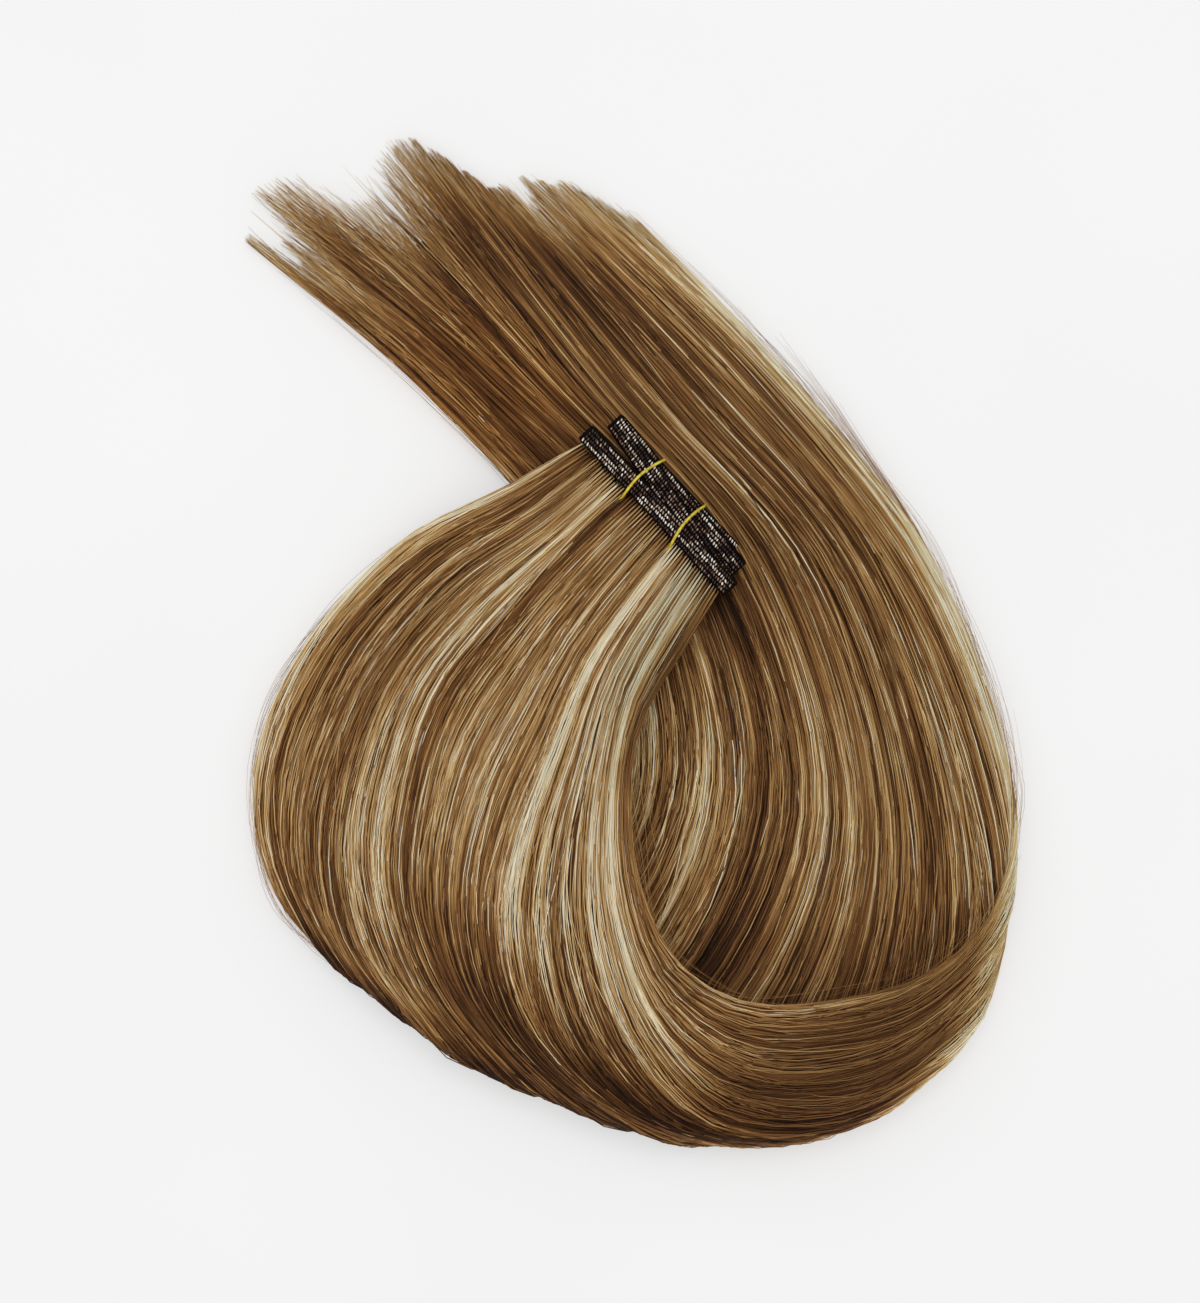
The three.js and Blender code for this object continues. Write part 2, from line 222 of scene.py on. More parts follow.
# Half of the thickness at the seam in millimetres, and what is added to it left of the step.
ROOT_HALF = (2.1, 1.5)
ROOT_STEP = fall(0.77, 0.02)
ROOT_EASE = rise(0, 0.05)
# Tresses that the strands gather into: height in millimetres, cells across and cells along.
TRESSES = (0.9, 22, 5)
FINE_TRESSES = (0.55, 60, 7)
TRESS_SWELL = 0.4
SWELL_ROUND = hump(0, 0.05)
TRESS_ROOT = rise(0, 0.1)
TRESS_TIPS = fall(1, 0.12)
TRESS_LEFT = 0.25  # share of the height left at the tips

# Inner bodies of the locks: sections, columns, gap at the partings, and how far they stop before the tips.
BODY_STATIONS = 170
BODY_COLUMNS = 12
BODY_GAP = 0.003
BODY_SHORT = 0.04
BODY_LOOK_ROUND = 0.05  # the shortest tips this far to each side are the ones that count
BODY_LAYER = 0.74
BODY_SLIMMING = 0.66
BODY_SLIM = rise(0.78, 0.14)

# Where the strands of the tail come out from under the fan: place across, and place along.
TAIL_STARTS = (
    (0.0, 0.64), (0.05, 0.54), (0.083, 0.5), (0.167, 0.47), (0.333, 0.455),
    (0.5, 0.465), (0.667, 0.485), (0.833, 0.5), (1.0, 0.47),
)
# Where the brush of tips ends: place across, and place along.
TIP_ENDS = (
    (0.0, 1.0), (0.02, 0.99), (0.035, 0.972), (0.06, 0.967), (0.08, 0.977), (0.1, 0.963),
    (0.12, 0.985), (0.15, 1.0), (0.19, 1.0), (0.21, 0.985), (0.235, 0.967), (0.27, 0.977),
    (0.29, 0.99), (0.333, 1.0), (0.42, 1.0), (0.5, 0.992), (0.6, 0.987), (0.69, 0.987),
    (0.72, 0.973), (0.75, 0.987), (0.78, 1.0), (0.9, 1.0), (0.95, 0.987), (1.0, 0.968),
)

# Strands: a layer is 1 on the outer face of the hair and -1 on the inner one, which is on top in the tail.
STRAND_SIDES = 3
STRAND_FLOOR = 0.2  # lowest height in millimetres
FACE_LAYER = 1.02
LAYER_DEPTH = 0.5
LAYER_POWER = 1.6
LAYER_WANDER = 0.05
RELIEF_LAYER = 0.5  # strands further out than this follow the tresses
SIDE_LAYER = 0.9  # how far the strands on an outer side spread over its height
SIDE_SHARE = 0.14  # share of a lock's strands that lie on its outer side
SIDE_RIM = 0.006
WANDER_TURNS = (0.6, 1.3, 2.3)
LOOSE_FACTOR = 3.6  # how much further a loose strand drifts

FAN_OPEN_STEPS = 23
FAN_TURN_STEPS = 13
FAN_TURN_LEAD = 0.055  # a strand's fine steps begin this far before the turn-over
FAN_TURN_LENGTH = 0.135
FAN_DRIFT = 0.0075
FAN_DRIFT_EASE = rise(0, 0.12)
FAN_LOOSE = 0.15
FAN_FUZZ = 0.05
FAN_UNDER = 0.14  # share of the strands right of FAN_UNDER_FROM that lie on the inner face
FAN_UNDER_FROM = 0.7
FAN_TUCK = 1.5  # how far each strand starts behind the seam, in millimetres
FAN_WIDTHS = (0.7, 1.15)
FAN_ROOT_WIDTH = 0.65
FAN_ROOT_EASE = rise(0, 0.04)
FAN_END_WIDTH = 0.4
TUFTS = 60
TUFT_SCATTER = 0.25
TUFT_PULL = 0.85
TUFT_REACH = fall(0.012, 0.012)

TAIL_STEPS = 26
TAIL_LEAD = 0.03  # a strand of the tail begins this far before the turn-over, if not later
TAIL_DRIFT = 0.006
TAIL_LOOSE = 0.13
TAIL_FUZZ = 0.02
TAIL_WIDTHS = (0.8, 1.4)
TIP_STEPS = 9
TIP_LENGTHS = (0.07, 0.16)
TIP_UNEVEN = 0.022
TIP_THINNING = 0.7
TIP_THIN = rise(-0.06, 0.06)
SHORT_SHARE = 0.08  # share of broken strands
SHORT_BY = 0.12
WISPS = 44
WISP_UNEVEN = 0.01
WISP_SHIFT = 0.3
WISP_PULL = 0.3
WISP_REACH = rise(0.9, 0.1)

# Stray hairs: how far in from an edge they start, then ranges of where they begin, how long they run and how
# far they reach in millimetres. The first few make a wisp on the right outline.
STRAY_STEPS = 18
STRAY_RIM = 0.05
STRAY_BEGIN = (0.04, 0.78)
STRAY_RUN = (0.1, 0.26)
STRAY_REACH = (0.6, 4.0)
STRAY_FREE = 0.35  # share of the hairs with a free end, while the others bow out and back
STRAY_FAR_BEFORE = 0.36  # those of the right edge that begin before this reach further
STRAY_FAR = 2.0
STRAY_WISP = 16
WISP_RIM = 0.008
WISP_BEGIN = (0.66, 0.7)
WISP_RUN = (0.13, 0.17)
WISP_FAR = (4.5, 6.5)
STRAY_END = 0.97
STRAY_LAYERS = (0.2, 0.8)
STRAY_BOWS = (0.6, 1.0)
STRAY_FREE_POWER = 1.6
STRAY_TONES = (0.3, 0.75)
STRAY_TAPER = 0.6
STRAY_FLOOR = 0.15

# Tones of the dyed hair run from 0, dark, to 1, pale.
# Random relief of the tone: size, cells across, cells along.
TONE_RELIEF = ((0.05, 9, 3), (0.05, 34, 3), (0.18, 130, 8), (0.16, 300, 14))
TONE_RANGE = (0.02, 0.98)
TONE_WANDER = 0.07
# Dyed streaks, and among them some painted shade: middle across the hair, width, and change of tone.
# In the fan the dark streak at 0.355 is painted shadow that the left lock casts on the edge of the middle
# lock.
FAN_STREAKS = (
    (0.015, 0.02, 0.12), (0.09, 0.02, -0.06), (0.15, 0.025, 0.1), (0.225, 0.025, 0.16),
    (0.28, 0.03, 0.22), (0.355, 0.022, -0.2), (0.43, 0.02, 0.04), (0.5, 0.03, -0.02),
    (0.56, 0.02, 0.08), (0.62, 0.02, -0.1), (0.68, 0.016, 0.24), (0.73, 0.022, 0.1),
    (0.77, 0.012, 0.1), (0.815, 0.016, 0.29), (0.872, 0.02, 0.33), (0.92, 0.02, -0.04),
    (0.98, 0.025, -0.1),
)
# In the tail the dark streaks at 0.265 and 0.32 are painted shade of the gaps between strands.
TAIL_STREAKS = (
    (0.02, 0.03, 0.1), (0.1, 0.03, -0.04), (0.155, 0.012, 0.27), (0.265, 0.018, -0.27),
    (0.32, 0.025, -0.18), (0.415, 0.016, 0.12), (0.5, 0.013, 0.1), (0.61, 0.025, -0.1),
    (0.7, 0.015, 0.06), (0.79, 0.025, 0.08), (0.87, 0.03, 0.06), (0.96, 0.04, 0.12),
)
# From DRIFT_START on, and for DRIFT_LENGTH, streaks move across by STREAK_DRIFT of the way along.
STREAK_DRIFT = 0.35
DRIFT_START = 0.6
DRIFT_LENGTH = 0.16
# Strength of the streaks: what holds everywhere, and what a window along the hair adds.
FAN_STREAK_STRENGTH = (1.2, -0.6, rise(0.18, 0.14))
TAIL_STREAK_STRENGTH = (0.6, 0.85, fall(0.76, 0.1))
# Looks of the strands: base tone, share of each strand's own difference, and grain along it.
FAN_TONE = (0.65, 0.75, 0.09)
TAIL_TONE = (0.44, 0.85, 0.06)
OWN_TONE = 0.12
ODD_TONE = 0.22
BLEACHED_BELOW = 0.09
DARK_ABOVE = 0.86
FRINGE_WIDTH = 0.018
# Most of these changes of tone are painted light and shade.
# Shades of the fan: change of tone, window across the hair, window along it from the seam.
FAN_SHADES = (
    (0.1, rise(0.66, 0.06), hump(0, 0.028)),  # pale roots on the right
    (-0.14, rise(0.79, 0.03), fall(0.2, 0.12)),  # shaded roots on the far right
    (-0.26, hump(0.405, 0.032), fall(0.2, 0.12)),  # painted shade at the roots right of the upper tie
    (-0.4, hump(0.335, 0.014), hump(0.02, 0.014)),  # painted shadow of the gap between the locks under the upper tie
    (-0.13, fall(0.34, 0.15), fall(0.26, 0.1)),  # left lock, turned from the light
    (0.04, rise(0.36, 0.08), fall(0.3, 0.1)),  # the other two, turned to it
)
TURNED = rise(-0.06, 0.05)
UNTURNED = fall(-0.01, 0.05)


def lower_part(past):
    """Window of the shadow that gathers before the turn-over and is a third weaker from there on."""
    return rise(-0.19, 0.1)(past) - 0.35 * rise(-0.09, 0.08)(past)


# The same with the window along the hair measured from the turn-over.
FOLD_SHADES = (
    (-0.05, everywhere, lower_part),  # shadow of the lower part, deepest in the middle lock
    (-0.48, rise(0.25, 0.3), lower_part),
    (0.159, rise(0.72, 0.15), lower_part),
    (-0.22, everywhere, TURNED),  # painted shade on the underside, lightest on the right
    (-0.26, fall(0.42, 0.1), TURNED),
    (0.3, rise(0.64, 0.06), TURNED),
    (0.08, rise(0.75, 0.1), TURNED),
    (0.14, rise(0.9, 0.06), TURNED),
    (0.24, fringe(0, FRINGE_WIDTH), UNTURNED),  # thin left edge
    (-0.1, fall(0.1, 0.05), rise(-0.16, 0.06)),  # painted shade at the lower left before the turn-over, deepest in two bands
    (-0.12, hump(0.07, 0.03), rise(-0.13, 0.06)),
    (-0.2, hump(0.3, 0.05), rise(-0.12, 0.06)),
    (-0.17, hump(0.87, 0.05), both(rise(-0.22, 0.08), UNTURNED)),  # painted shade in the right lock before the turn-over
    (-0.24, hump(0.89, 0.035), hump(-0.15, 0.05)),
    (0.16, rise(0.91, 0.03), rise(-0.13, 0.05)),  # light on the right lock as it turns
    (0.24, rise(0.68, 0.05), rise(-0.05, 0.04)),
)
# Some of these changes of tone are painted light and shade.
# Shades of the tail, as in FAN_SHADES.
TAIL_SHADES = (
    (0.13, everywhere, fall(0.74, 0.12)),  # light on the way round, less of it on the outside
    (-0.078, rise(0.55, 0.2), fall(0.74, 0.12)),
    (-0.2, rise(0.2, 0.1), fall(0.57, 0.08)),  # shadow of the fan
    (-0.1, hump(0.16, 0.07), fall(0.56, 0.03)),
    (0.16, hump(0.16, 0.06), both(rise(0.54, 0.03), fall(0.65, 0.05))),  # light inside the loop
    (-0.4, hump(0.255, 0.045), hump(0.693, 0.026)),  # shadow under the right end of the track
    (0.17, rise(0.86, 0.1), everywhere),  # outer rim, thin and pale
    (0.16, rise(0.86, 0.1), rise(0.58, 0.1)),
    (0.24, fringe(0, FRINGE_WIDTH), everywhere),
    (0.24, fringe(1, FRINGE_WIDTH), everywhere),
    (0.14, hump(0.73, 0.04), both(rise(0.6, 0.05), fall(0.88, 0.06))),  # long light tress
    (-0.05, fall(0.34, 0.1), rise(0.72, 0.06)),  # inner side past the track
    (-0.12, hump(0.375, 0.03), rise(0.87, 0.04)),  # dark and light tresses near the tips
    (-0.26, hump(0.565, 0.075), rise(0.82, 0.07)),
    (-0.12, hump(0.7, 0.035), rise(0.82, 0.07)),
    (0.1, hump(0.14, 0.07), rise(0.86, 0.05)),
    (0.08, hump(0.865, 0.03), rise(0.8, 0.06)),
)
# Windows across and along: band of even ashy hair on the right, along from the turn-over, and ashy roots.
BAND = (rise(0.84, 0.06), rise(-0.2, 0.08))
BAND_TONE = 0.52
BAND_PULL = 0.45
BAND_ASH = 0.9
ASHY_ROOT = (rise(0.74, 0.06), fall(0.15, 0.1))
ASH_PALER = 0.04
# Warm hair on the inner side of the tail, and ashy hair on the rest of it, most of all on the outer rim.
WARM_INSIDE = (fall(0.4, 0.16), both(rise(0.76, 0.06), fall(0.92, 0.06)))
TAIL_ASH = (0.45, 0.35, rise(0.9, 0.08))
# Bleached tips: their tone, how much darker the middle ones are, the spread, and where bleaching sets in.
TIP_TONE = 0.74
TIP_DARKER = 0.22
TIP_DARK = hump(0.53, 0.13)
TIP_SPREAD = 0.2
TIP_BLEACH = rise(-0.05, 0.045)
# Cast of the colour from 0, cool, to 1, warm: at the seam, what is added up to the tips, reach of a tint.
CAST_SEAM = 0.45
CAST_ALONG = 0.1
CAST_REACH = 0.45

# Stage: reach of the floor in metres, and the camera's aim and the size of its sensor in millimetres.
FLOOR_REACH = 20.0
VIEW_CENTRE = (-7.57, -3.69)
SENSOR = 36.0
# Soft lights: name, place and size in metres, and power in watts.
LIGHTS = (
    ("key_light", (0.15, 0.75, 2.2), 1.3, 9.5),
    ("fill_light", (-0.9, -0.3, 2.3), 1.6, 3.0),
)
SKY_STRENGTH = 0.8


def linear_colour(code):
    """Linear RGB of an sRGB hex code."""
    values = [int(code[i:i + 2], 16) / 255 for i in (1, 3, 5)]
    return tuple(v / 12.92 if v <= 0.04045 else ((v + 0.055) / 1.055) ** 2.4 for v in values)


def weft_point(along, side, height):
    """Point in millimetres at a distance along the weft, towards its hair side, and above the table."""
    x = WEFT_CENTRE[0] + along * WEFT_ALONG[0] + side * WEFT_ALONG[1]
    y = WEFT_CENTRE[1] + along * WEFT_ALONG[1] - side * WEFT_ALONG[0]
    return np.stack(np.broadcast_arrays(x, y, height), axis=-1).astype(float)


def line_run(line):
    """Length of a line up to each of its points."""
    return np.concatenate([[0], np.cumsum(np.linalg.norm(np.diff(line, axis=0), axis=1))])


# The curtain of hair: each point of it has a place along, a place across and a layer.


def guide_line(share, fold, points):
    """Evenly spaced points of one guide strand, and the share of its length where it turns over."""
    seam = weft_point(SEAM_START + (SEAM_END - SEAM_START) * share, SEAM_SIDE, SEAM_HEIGHT)
    points = np.vstack([seam, np.array(points, float)])
    ends = 2 * points[0] - points[1], 2 * points[-1] - points[-2]
    p = np.vstack([ends[0], points, ends[1]])
    knots = np.sqrt(np.linalg.norm(np.diff(p, axis=0), axis=1))
    t = np.linspace(0, 1, GUIDE_STEPS, endpoint=False)[:, None]
    pieces = []
    for i in range(1, len(p) - 2):
        a, b, c, d = p[i - 1:i + 3]
        before, here, after = knots[i - 1:i + 2]
        leave = here * ((b - a) / before - (c - a) / (before + here) + (c - b) / here)
        arrive = here * ((c - b) / here - (d - b) / (here + after) + (d - c) / after)
        bend = 3 * (c - b) - 2 * leave - arrive
        pieces.append(b + t * leave + t**2 * bend + t**3 * (2 * (b - c) + leave + arrive))
    line = np.vstack(pieces + [points[-1:]])
    run = line_run(line)
    run /= run[-1]
    even = np.stack([np.interp(STATIONS, run, line[:, k]) for k in range(3)], axis=1)
    return even, np.interp(fold * GUIDE_STEPS, np.arange(len(run)), run)


SHARES = np.array([guide[0] for guide in GUIDES])
GUIDE_LINES, FOLD_PLACES = (np.array(column) for column in zip(*(guide_line(*guide) for guide in GUIDES)))


def across_weights(across):
    """Share of each guide at places across the hair, so that a smooth surface runs through all the guides."""
    last = len(SHARES) - 1
    slopes = np.zeros((last + 1, last + 1))
    for i in range(last + 1):
        low, high = max(i - 1, 0), min(i + 1, last)
        slopes[i, high] += 1 / (SHARES[high] - SHARES[low])
        slopes[i, low] -= 1 / (SHARES[high] - SHARES[low])
    across = np.clip(across, 0, 1)
    i = np.clip(np.searchsorted(SHARES, across, side="right") - 1, 0, last - 1)
    width = (SHARES[i + 1] - SHARES[i])[..., None]
    t = (across[..., None] - SHARES[i][..., None]) / width
    one = np.eye(last + 1)
    value = (2 * t**3 - 3 * t**2 + 1) * one[i] + (3 * t**2 - 2 * t**3) * one[i + 1]
    lean = (t**3 - 2 * t**2 + t) * slopes[i] + (t**3 - t**2) * slopes[i + 1]
    return value + width * lean


def fold_place(across):
    """Place along the hair at which it turns over."""
    return across_weights(across) @ FOLD_PLACES


def tip_end(across):
    """Place along the hair at which the tips end."""
    return np.interp(across, *np.array(TIP_ENDS).T)


def hair_depth(along):
    """Thickness of the hair in millimetres."""
    places, depths = np.array(DEPTHS, float).T
    i = np.clip(np.searchsorted(places, along, side="right") - 1, 0, len(places) - 2)
    t = smooth((along - places[i]) / (places[i + 1] - places[i]))
    return depths[i] + (depths[i + 1] - depths[i]) * t


def hair_form(along, across):
    """Share of the thickness left towards the outer edges and the two partings between the locks."""
    in_lock = np.clip(across * 3, 0, 2.999) % 1
    from_middle = np.abs(2 * in_lock - 1)
    outer = (across < 1 / 6) | (across > 5 / 6)
    parting = PARTING_THINNING[0] + PARTING_THINNING[1] * PARTING_OPEN(along)
    return 1 - np.where(outer, EDGE_THINNING, parting) * from_middle**PARTING_POWER


def curtain(along, across, layer, relief=0.0, lowest=0.0):
    """Points of the hair in millimetres in the part's frame, and the level way to the right of its travel."""
    weights = across_weights(across)
    centre = np.zeros(along.shape + (3,))
    for g in range(len(GUIDES)):
        for k in range(3):
            centre[..., k] += weights[..., g] * np.interp(along, STATIONS, GUIDE_LINES[g, :, k])
    travel = np.gradient(centre, axis=-2)
    plan = np.maximum(np.hypot(travel[..., 0], travel[..., 1]), 1e-9)
    right = np.stack([travel[..., 1] / plan, -travel[..., 0] / plan, np.zeros_like(plan)], axis=-1)
    roll = math.pi * smooth((along - weights @ FOLD_PLACES + FOLD_HALF) / (2 * FOLD_HALF))
    press = np.where(layer < 0, 1 - ROLL_PRESS * np.sin(roll), 1.0)
    lift = layer * press * hair_depth(along) * hair_form(along, across) / 2
    root = ROOT_HALF[0] + ROOT_HALF[1] * ROOT_STEP(across)
    lift = layer * root + (lift - layer * root) * ROOT_EASE(along)
    lift = lift + relief * np.sign(layer)
    points = centre + lift[..., None] * np.sin(roll)[..., None] * right
    points[..., 2] += lift * np.cos(roll)
    points[..., 2] = np.maximum(points[..., 2], lowest)
    return points - PLAN_CENTRE, right


def ripple(seed, across_cells, along_cells, across, along):
    """Smooth random relief from -1 to 1, drawn out along the hair."""
    lattice = np.random.default_rng(seed).uniform(-1, 1, (across_cells + 2, along_cells + 2))
    x = np.clip(across, 0, 1) * across_cells
    y = np.clip(along, 0, 1) * along_cells
    i = x.astype(int)
    j = y.astype(int)
    fx = smooth(x - i)
    fy = smooth(y - j)
    low = lattice[i, j] * (1 - fy) + lattice[i, j + 1] * fy
    high = lattice[i + 1, j] * (1 - fy) + lattice[i + 1, j + 1] * fy
    return low * (1 - fx) + high * fx


def hair_relief(seed, across, along):
    """Height in millimetres of the tresses that the strands gather into."""
    coarse, fine = (
        height * ripple(seed + i, *cells, across, along)
        for i, (height, *cells) in enumerate((TRESSES, FINE_TRESSES)))
    swell = 1 + TRESS_SWELL * SWELL_ROUND(along - fold_place(across))
    tips = TRESS_LEFT + (1 - TRESS_LEFT) * TRESS_TIPS(along)
    return (coarse * swell + fine) * TRESS_ROOT(along) * tips


# Tones and casts of the strands.


def streak_tone(seed, base, streaks, strength, across, along):
    """Tone of the dyed hair with its streaks and its random relief."""
    tone = base
    for size, *cells in TONE_RELIEF:
        tone = tone + size * ripple(seed + cells[0], *cells, across, along)
    level, change_of_level, window = strength
    level = level + change_of_level * window(along)
    drift = STREAK_DRIFT * np.clip(along - DRIFT_START, 0, DRIFT_LENGTH)
    for middle, width, change in streaks:
        tone = tone + level * change * hump(middle + drift, width)(across)
    return tone


def own_tone(rng, count):
    """Each strand's own difference in tone: mostly slight, with some bleached and some dark ones."""
    pick = rng.random((count, 1))
    change = OWN_TONE * rng.normal(size=(count, 1))
    change = change + np.where(pick < BLEACHED_BELOW, ODD_TONE, 0.0)
    return change - np.where(pick > DARK_ABOVE, ODD_TONE, 0.0)


def strand_tone(rng, seed, look, streaks, strength, across, along):
    """Tone of strands: the streaks that they lie in, each strand's own difference, and grain along it."""
    base, own_share, grain = look
    count, steps = along.shape
    tone = streak_tone(seed, base, streaks, strength, across, along)
    tone = tone + own_share * own_tone(rng, count) + wander(rng, count, steps, TONE_WANDER)
    return tone + grain * rng.normal(size=along.shape)


def patch(windows, across, along):
    """How far a pair of windows, across and along the hair, is open at places of it."""
    return windows[0](across) * windows[1](along)


def shades(rows, across, along):
    """Sum of the changes of tone in a table of shades."""
    return sum(change * patch(windows, across, along) for change, *windows in rows)


def colour_cast(along, tint=0.0):
    """Cast of the colour where a tint runs from -1, cool, to 1, warm."""
    return CAST_SEAM + CAST_ALONG * along + CAST_REACH * tint


# Meshes from arrays.


def link_object(name, mesh):
    """New object in the scene, at the origin."""
    obj = bpy.data.objects.new(name, mesh)
    bpy.context.scene.collection.objects.link(obj)
    return obj


def put_values(mesh, key, numbers, kind="FLOAT", field="value"):
    """Stores a number, or a vector, for each vertex."""
    attribute = mesh.attributes.new(key, kind, "POINT")
    attribute.data.foreach_set(field, np.asarray(numbers, np.float32).ravel())


def get_values(mesh, key):
    """The number stored for each vertex."""
    numbers = np.zeros(len(mesh.vertices), np.float32)
    mesh.attributes[key].data.foreach_get("value", numbers)
    return numbers


def line_mesh(name, lines, closed=False, **values):
    """Chains of loose edges, one for each row of lines (rows, steps, 3), with numbers at each point."""
    rows, steps = lines.shape[:2]
    mesh = bpy.data.meshes.new(name)
    mesh.vertices.add(rows * steps)
    mesh.vertices.foreach_set("co", (lines * MM).astype(np.float32).ravel())
    here = np.arange(steps if closed else steps - 1)
    pair = np.stack([here, (here + 1) % steps], axis=1)
    edges = (np.arange(rows)[:, None, None] * steps + pair).reshape(-1, 2)
    mesh.edges.add(len(edges))
    mesh.edges.foreach_set("vertices", edges.astype(np.int32).ravel())
    for key, numbers in values.items():
        put_values(mesh, key, numbers)
    mesh.update()
    return mesh


def loft_mesh(name, rings):
    """Closed smooth skin over rings (count, points, 3) in millimetres, mapped by run and way round."""
    count, around = rings.shape[:2]
    i, r = np.meshgrid(np.arange(count - 1), np.arange(around), indexing="ij")
    after = (r + 1) % around
    quads = np.stack([i * around + r, i * around + after, (i + 1) * around + after, (i + 1) * around + r], -1)
    u = np.stack([i, i, i + 1, i + 1], -1) / (count - 1)
    v = np.stack([r, r + 1, r + 1, r], -1) / around
    uv = np.stack([u.reshape(-1, 4), v.reshape(-1, 4)], -1)
    faces = quads.reshape(-1, 4)
    caps = [np.arange(around)[::-1], (count - 1) * around + np.arange(around)]
    corners = rings.reshape(-1, 3)[faces].transpose(1, 0, 2)
    volume = sum(np.sum(corners[0] * np.cross(corners[k], corners[k + 1])) for k in (1, 2))
    if volume < 0:
        faces = faces[:, ::-1]
        uv = uv[:, ::-1]
        caps = [cap[::-1] for cap in caps]
    mesh = bpy.data.meshes.new(name)
    places = (rings * MM).reshape(-1, 3).tolist()
    mesh.from_pydata(places, [], faces.tolist() + [cap.tolist() for cap in caps])
    cap_uv = np.stack([np.zeros(2 * around), np.tile(np.arange(around) / around, 2)], -1)
    layer = mesh.uv_layers.new(name=BAKE_MAP)
    layer.data.foreach_set("uv", np.vstack([uv.reshape(-1, 2), cap_uv]).astype(np.float32).ravel())
    mesh.shade_smooth()
    mesh.update()
    return mesh


def bake_map(mesh, sides):
    """Writes the bake's map from the two numbers at each vertex, and gives each face a little room in it."""
    room = 0.002
    corner = np.zeros(len(mesh.loops), np.int32)
    mesh.loops.foreach_get("vertex_index", corner)
    u = get_values(mesh, "map_u")[corner]
    v = get_values(mesh, "map_v")[corner] + room * (corner % sides - (sides - 1) / 2)
    layer = mesh.uv_layers.new(name=BAKE_MAP)
    pairs = np.stack([np.clip(u, 0, 1), np.clip(v, 0, 1)], -1)
    layer.data.foreach_set("uv", pairs.astype(np.float32).ravel())


# Node trees.


def give(tree, node, inputs):
    """Gives inputs of a node a value or a link each."""
    for key, value in inputs.items():
        if isinstance(value, bpy.types.NodeSocket):
            tree.links.new(value, node.inputs[key])
        else:
            node.inputs[key].default_value = value


def add_node(tree, kind, inputs=None, stops=(), **settings):
    """Adds a node with its settings, its colour stops (place, linear colour) and its inputs."""
    node = tree.nodes.new(kind)
    for key, value in settings.items():
        setattr(node, key, value)
    for i, (place, shade) in enumerate(stops):
        band = node.color_ramp.elements
        stop = band[i] if i < len(band) else band.new(place)
        stop.position = place
        stop.color = (*shade, 1)
    give(tree, node, inputs or {})
    return node


def new_tree(name, sockets):
    """Geometry tree with named inputs. Returns it with its input node."""
    tree = bpy.data.node_groups.new(name, "GeometryNodeTree")
    tree.interface.new_socket(name="Geometry", in_out="INPUT", socket_type="NodeSocketGeometry")
    for label, kind in sockets:
        tree.interface.new_socket(name=label, in_out="INPUT", socket_type=kind)
    tree.interface.new_socket(name="Geometry", in_out="OUTPUT", socket_type="NodeSocketGeometry")
    return tree, tree.nodes.new("NodeGroupInput")


def end_tree(tree, given, geometry):
    """Smooth shading, realized instances and the material, as the last steps of a tree."""
    shaded = add_node(tree, "GeometryNodeSetShadeSmooth", {"Geometry": geometry})
    real = add_node(tree, "GeometryNodeRealizeInstances", {"Geometry": shaded.outputs["Geometry"]})
    dressed = add_node(tree, "GeometryNodeSetMaterial", {
        "Geometry": real.outputs["Geometry"],
        "Material": given.outputs["Material"],
    })
    add_node(tree, "NodeGroupOutput", {"Geometry": dressed.outputs["Geometry"]})
    return tree


def strands_along_lines(name):
    """Round strands along chains of edges, as thick as the number at each point says."""
    tree, given = new_tree(name, (("Sides", "NodeSocketInt"), ("Material", "NodeSocketMaterial")))
    curves = add_node(tree, "GeometryNodeMeshToCurve", {"Mesh": given.outputs["Geometry"]})
    thick = add_node(tree, "GeometryNodeInputNamedAttribute", {"Name": "thickness"}, data_type="FLOAT")
    ring = add_node(tree, "GeometryNodeCurvePrimitiveCircle", {
        "Resolution": given.outputs["Sides"],
        "Radius": 1.0,
    })
    tubes = add_node(tree, "GeometryNodeCurveToMesh", {
        "Curve": curves.outputs["Curve"],
        "Profile Curve": ring.outputs["Curve"],
        "Scale": thick.outputs["Attribute"],
        "Fill Caps": True,
    })
    return end_tree(tree, given, tubes.outputs["Mesh"])


def stitches_on_points(name):
    """Short rounded stitches on points, turned and sized as the vectors at each point say."""
    tree, given = new_tree(name, (("Stitch size", "NodeSocketFloat"), ("Material", "NodeSocketMaterial")))
    bead = add_node(tree, "GeometryNodeMeshUVSphere", {
        "Segments": STITCH_SIDES,
        "Rings": 3,
        "Radius": given.outputs["Stitch size"],
    })
    turn, size = (
        add_node(tree, "GeometryNodeInputNamedAttribute", {"Name": key}, data_type="FLOAT_VECTOR")
        for key in ("turn", "size"))
    laid = add_node(tree, "GeometryNodeInstanceOnPoints", {
        "Points": given.outputs["Geometry"],
        "Instance": bead.outputs["Mesh"],
        "Rotation": turn.outputs["Attribute"],
        "Scale": size.outputs["Attribute"],
    })
    return end_tree(tree, given, laid.outputs["Instances"])


def grow(name, mesh, make, inputs):
    """Runs a geometry tree, made once and named for its function, on a mesh, and leaves a plain mesh."""
    tree = bpy.data.node_groups.get(make.__name__) or make(make.__name__)
    obj = link_object(name, mesh)
    modifier = obj.modifiers.new("Grow", "NODES")
    modifier.node_group = tree
    for item in tree.interface.items_tree:
        if item.item_type == "SOCKET" and item.in_out == "INPUT" and item.name in inputs:
            modifier[item.identifier] = inputs[item.name]
    graph = bpy.context.evaluated_depsgraph_get()
    made = bpy.data.meshes.new_from_object(
        obj.evaluated_get(graph), preserve_all_data_layers=True, depsgraph=graph)
    obj.modifiers.clear()
    obj.data = made
    made.name = name
    if not made.polygons:
        raise RuntimeError(name + " came out empty")
    return obj


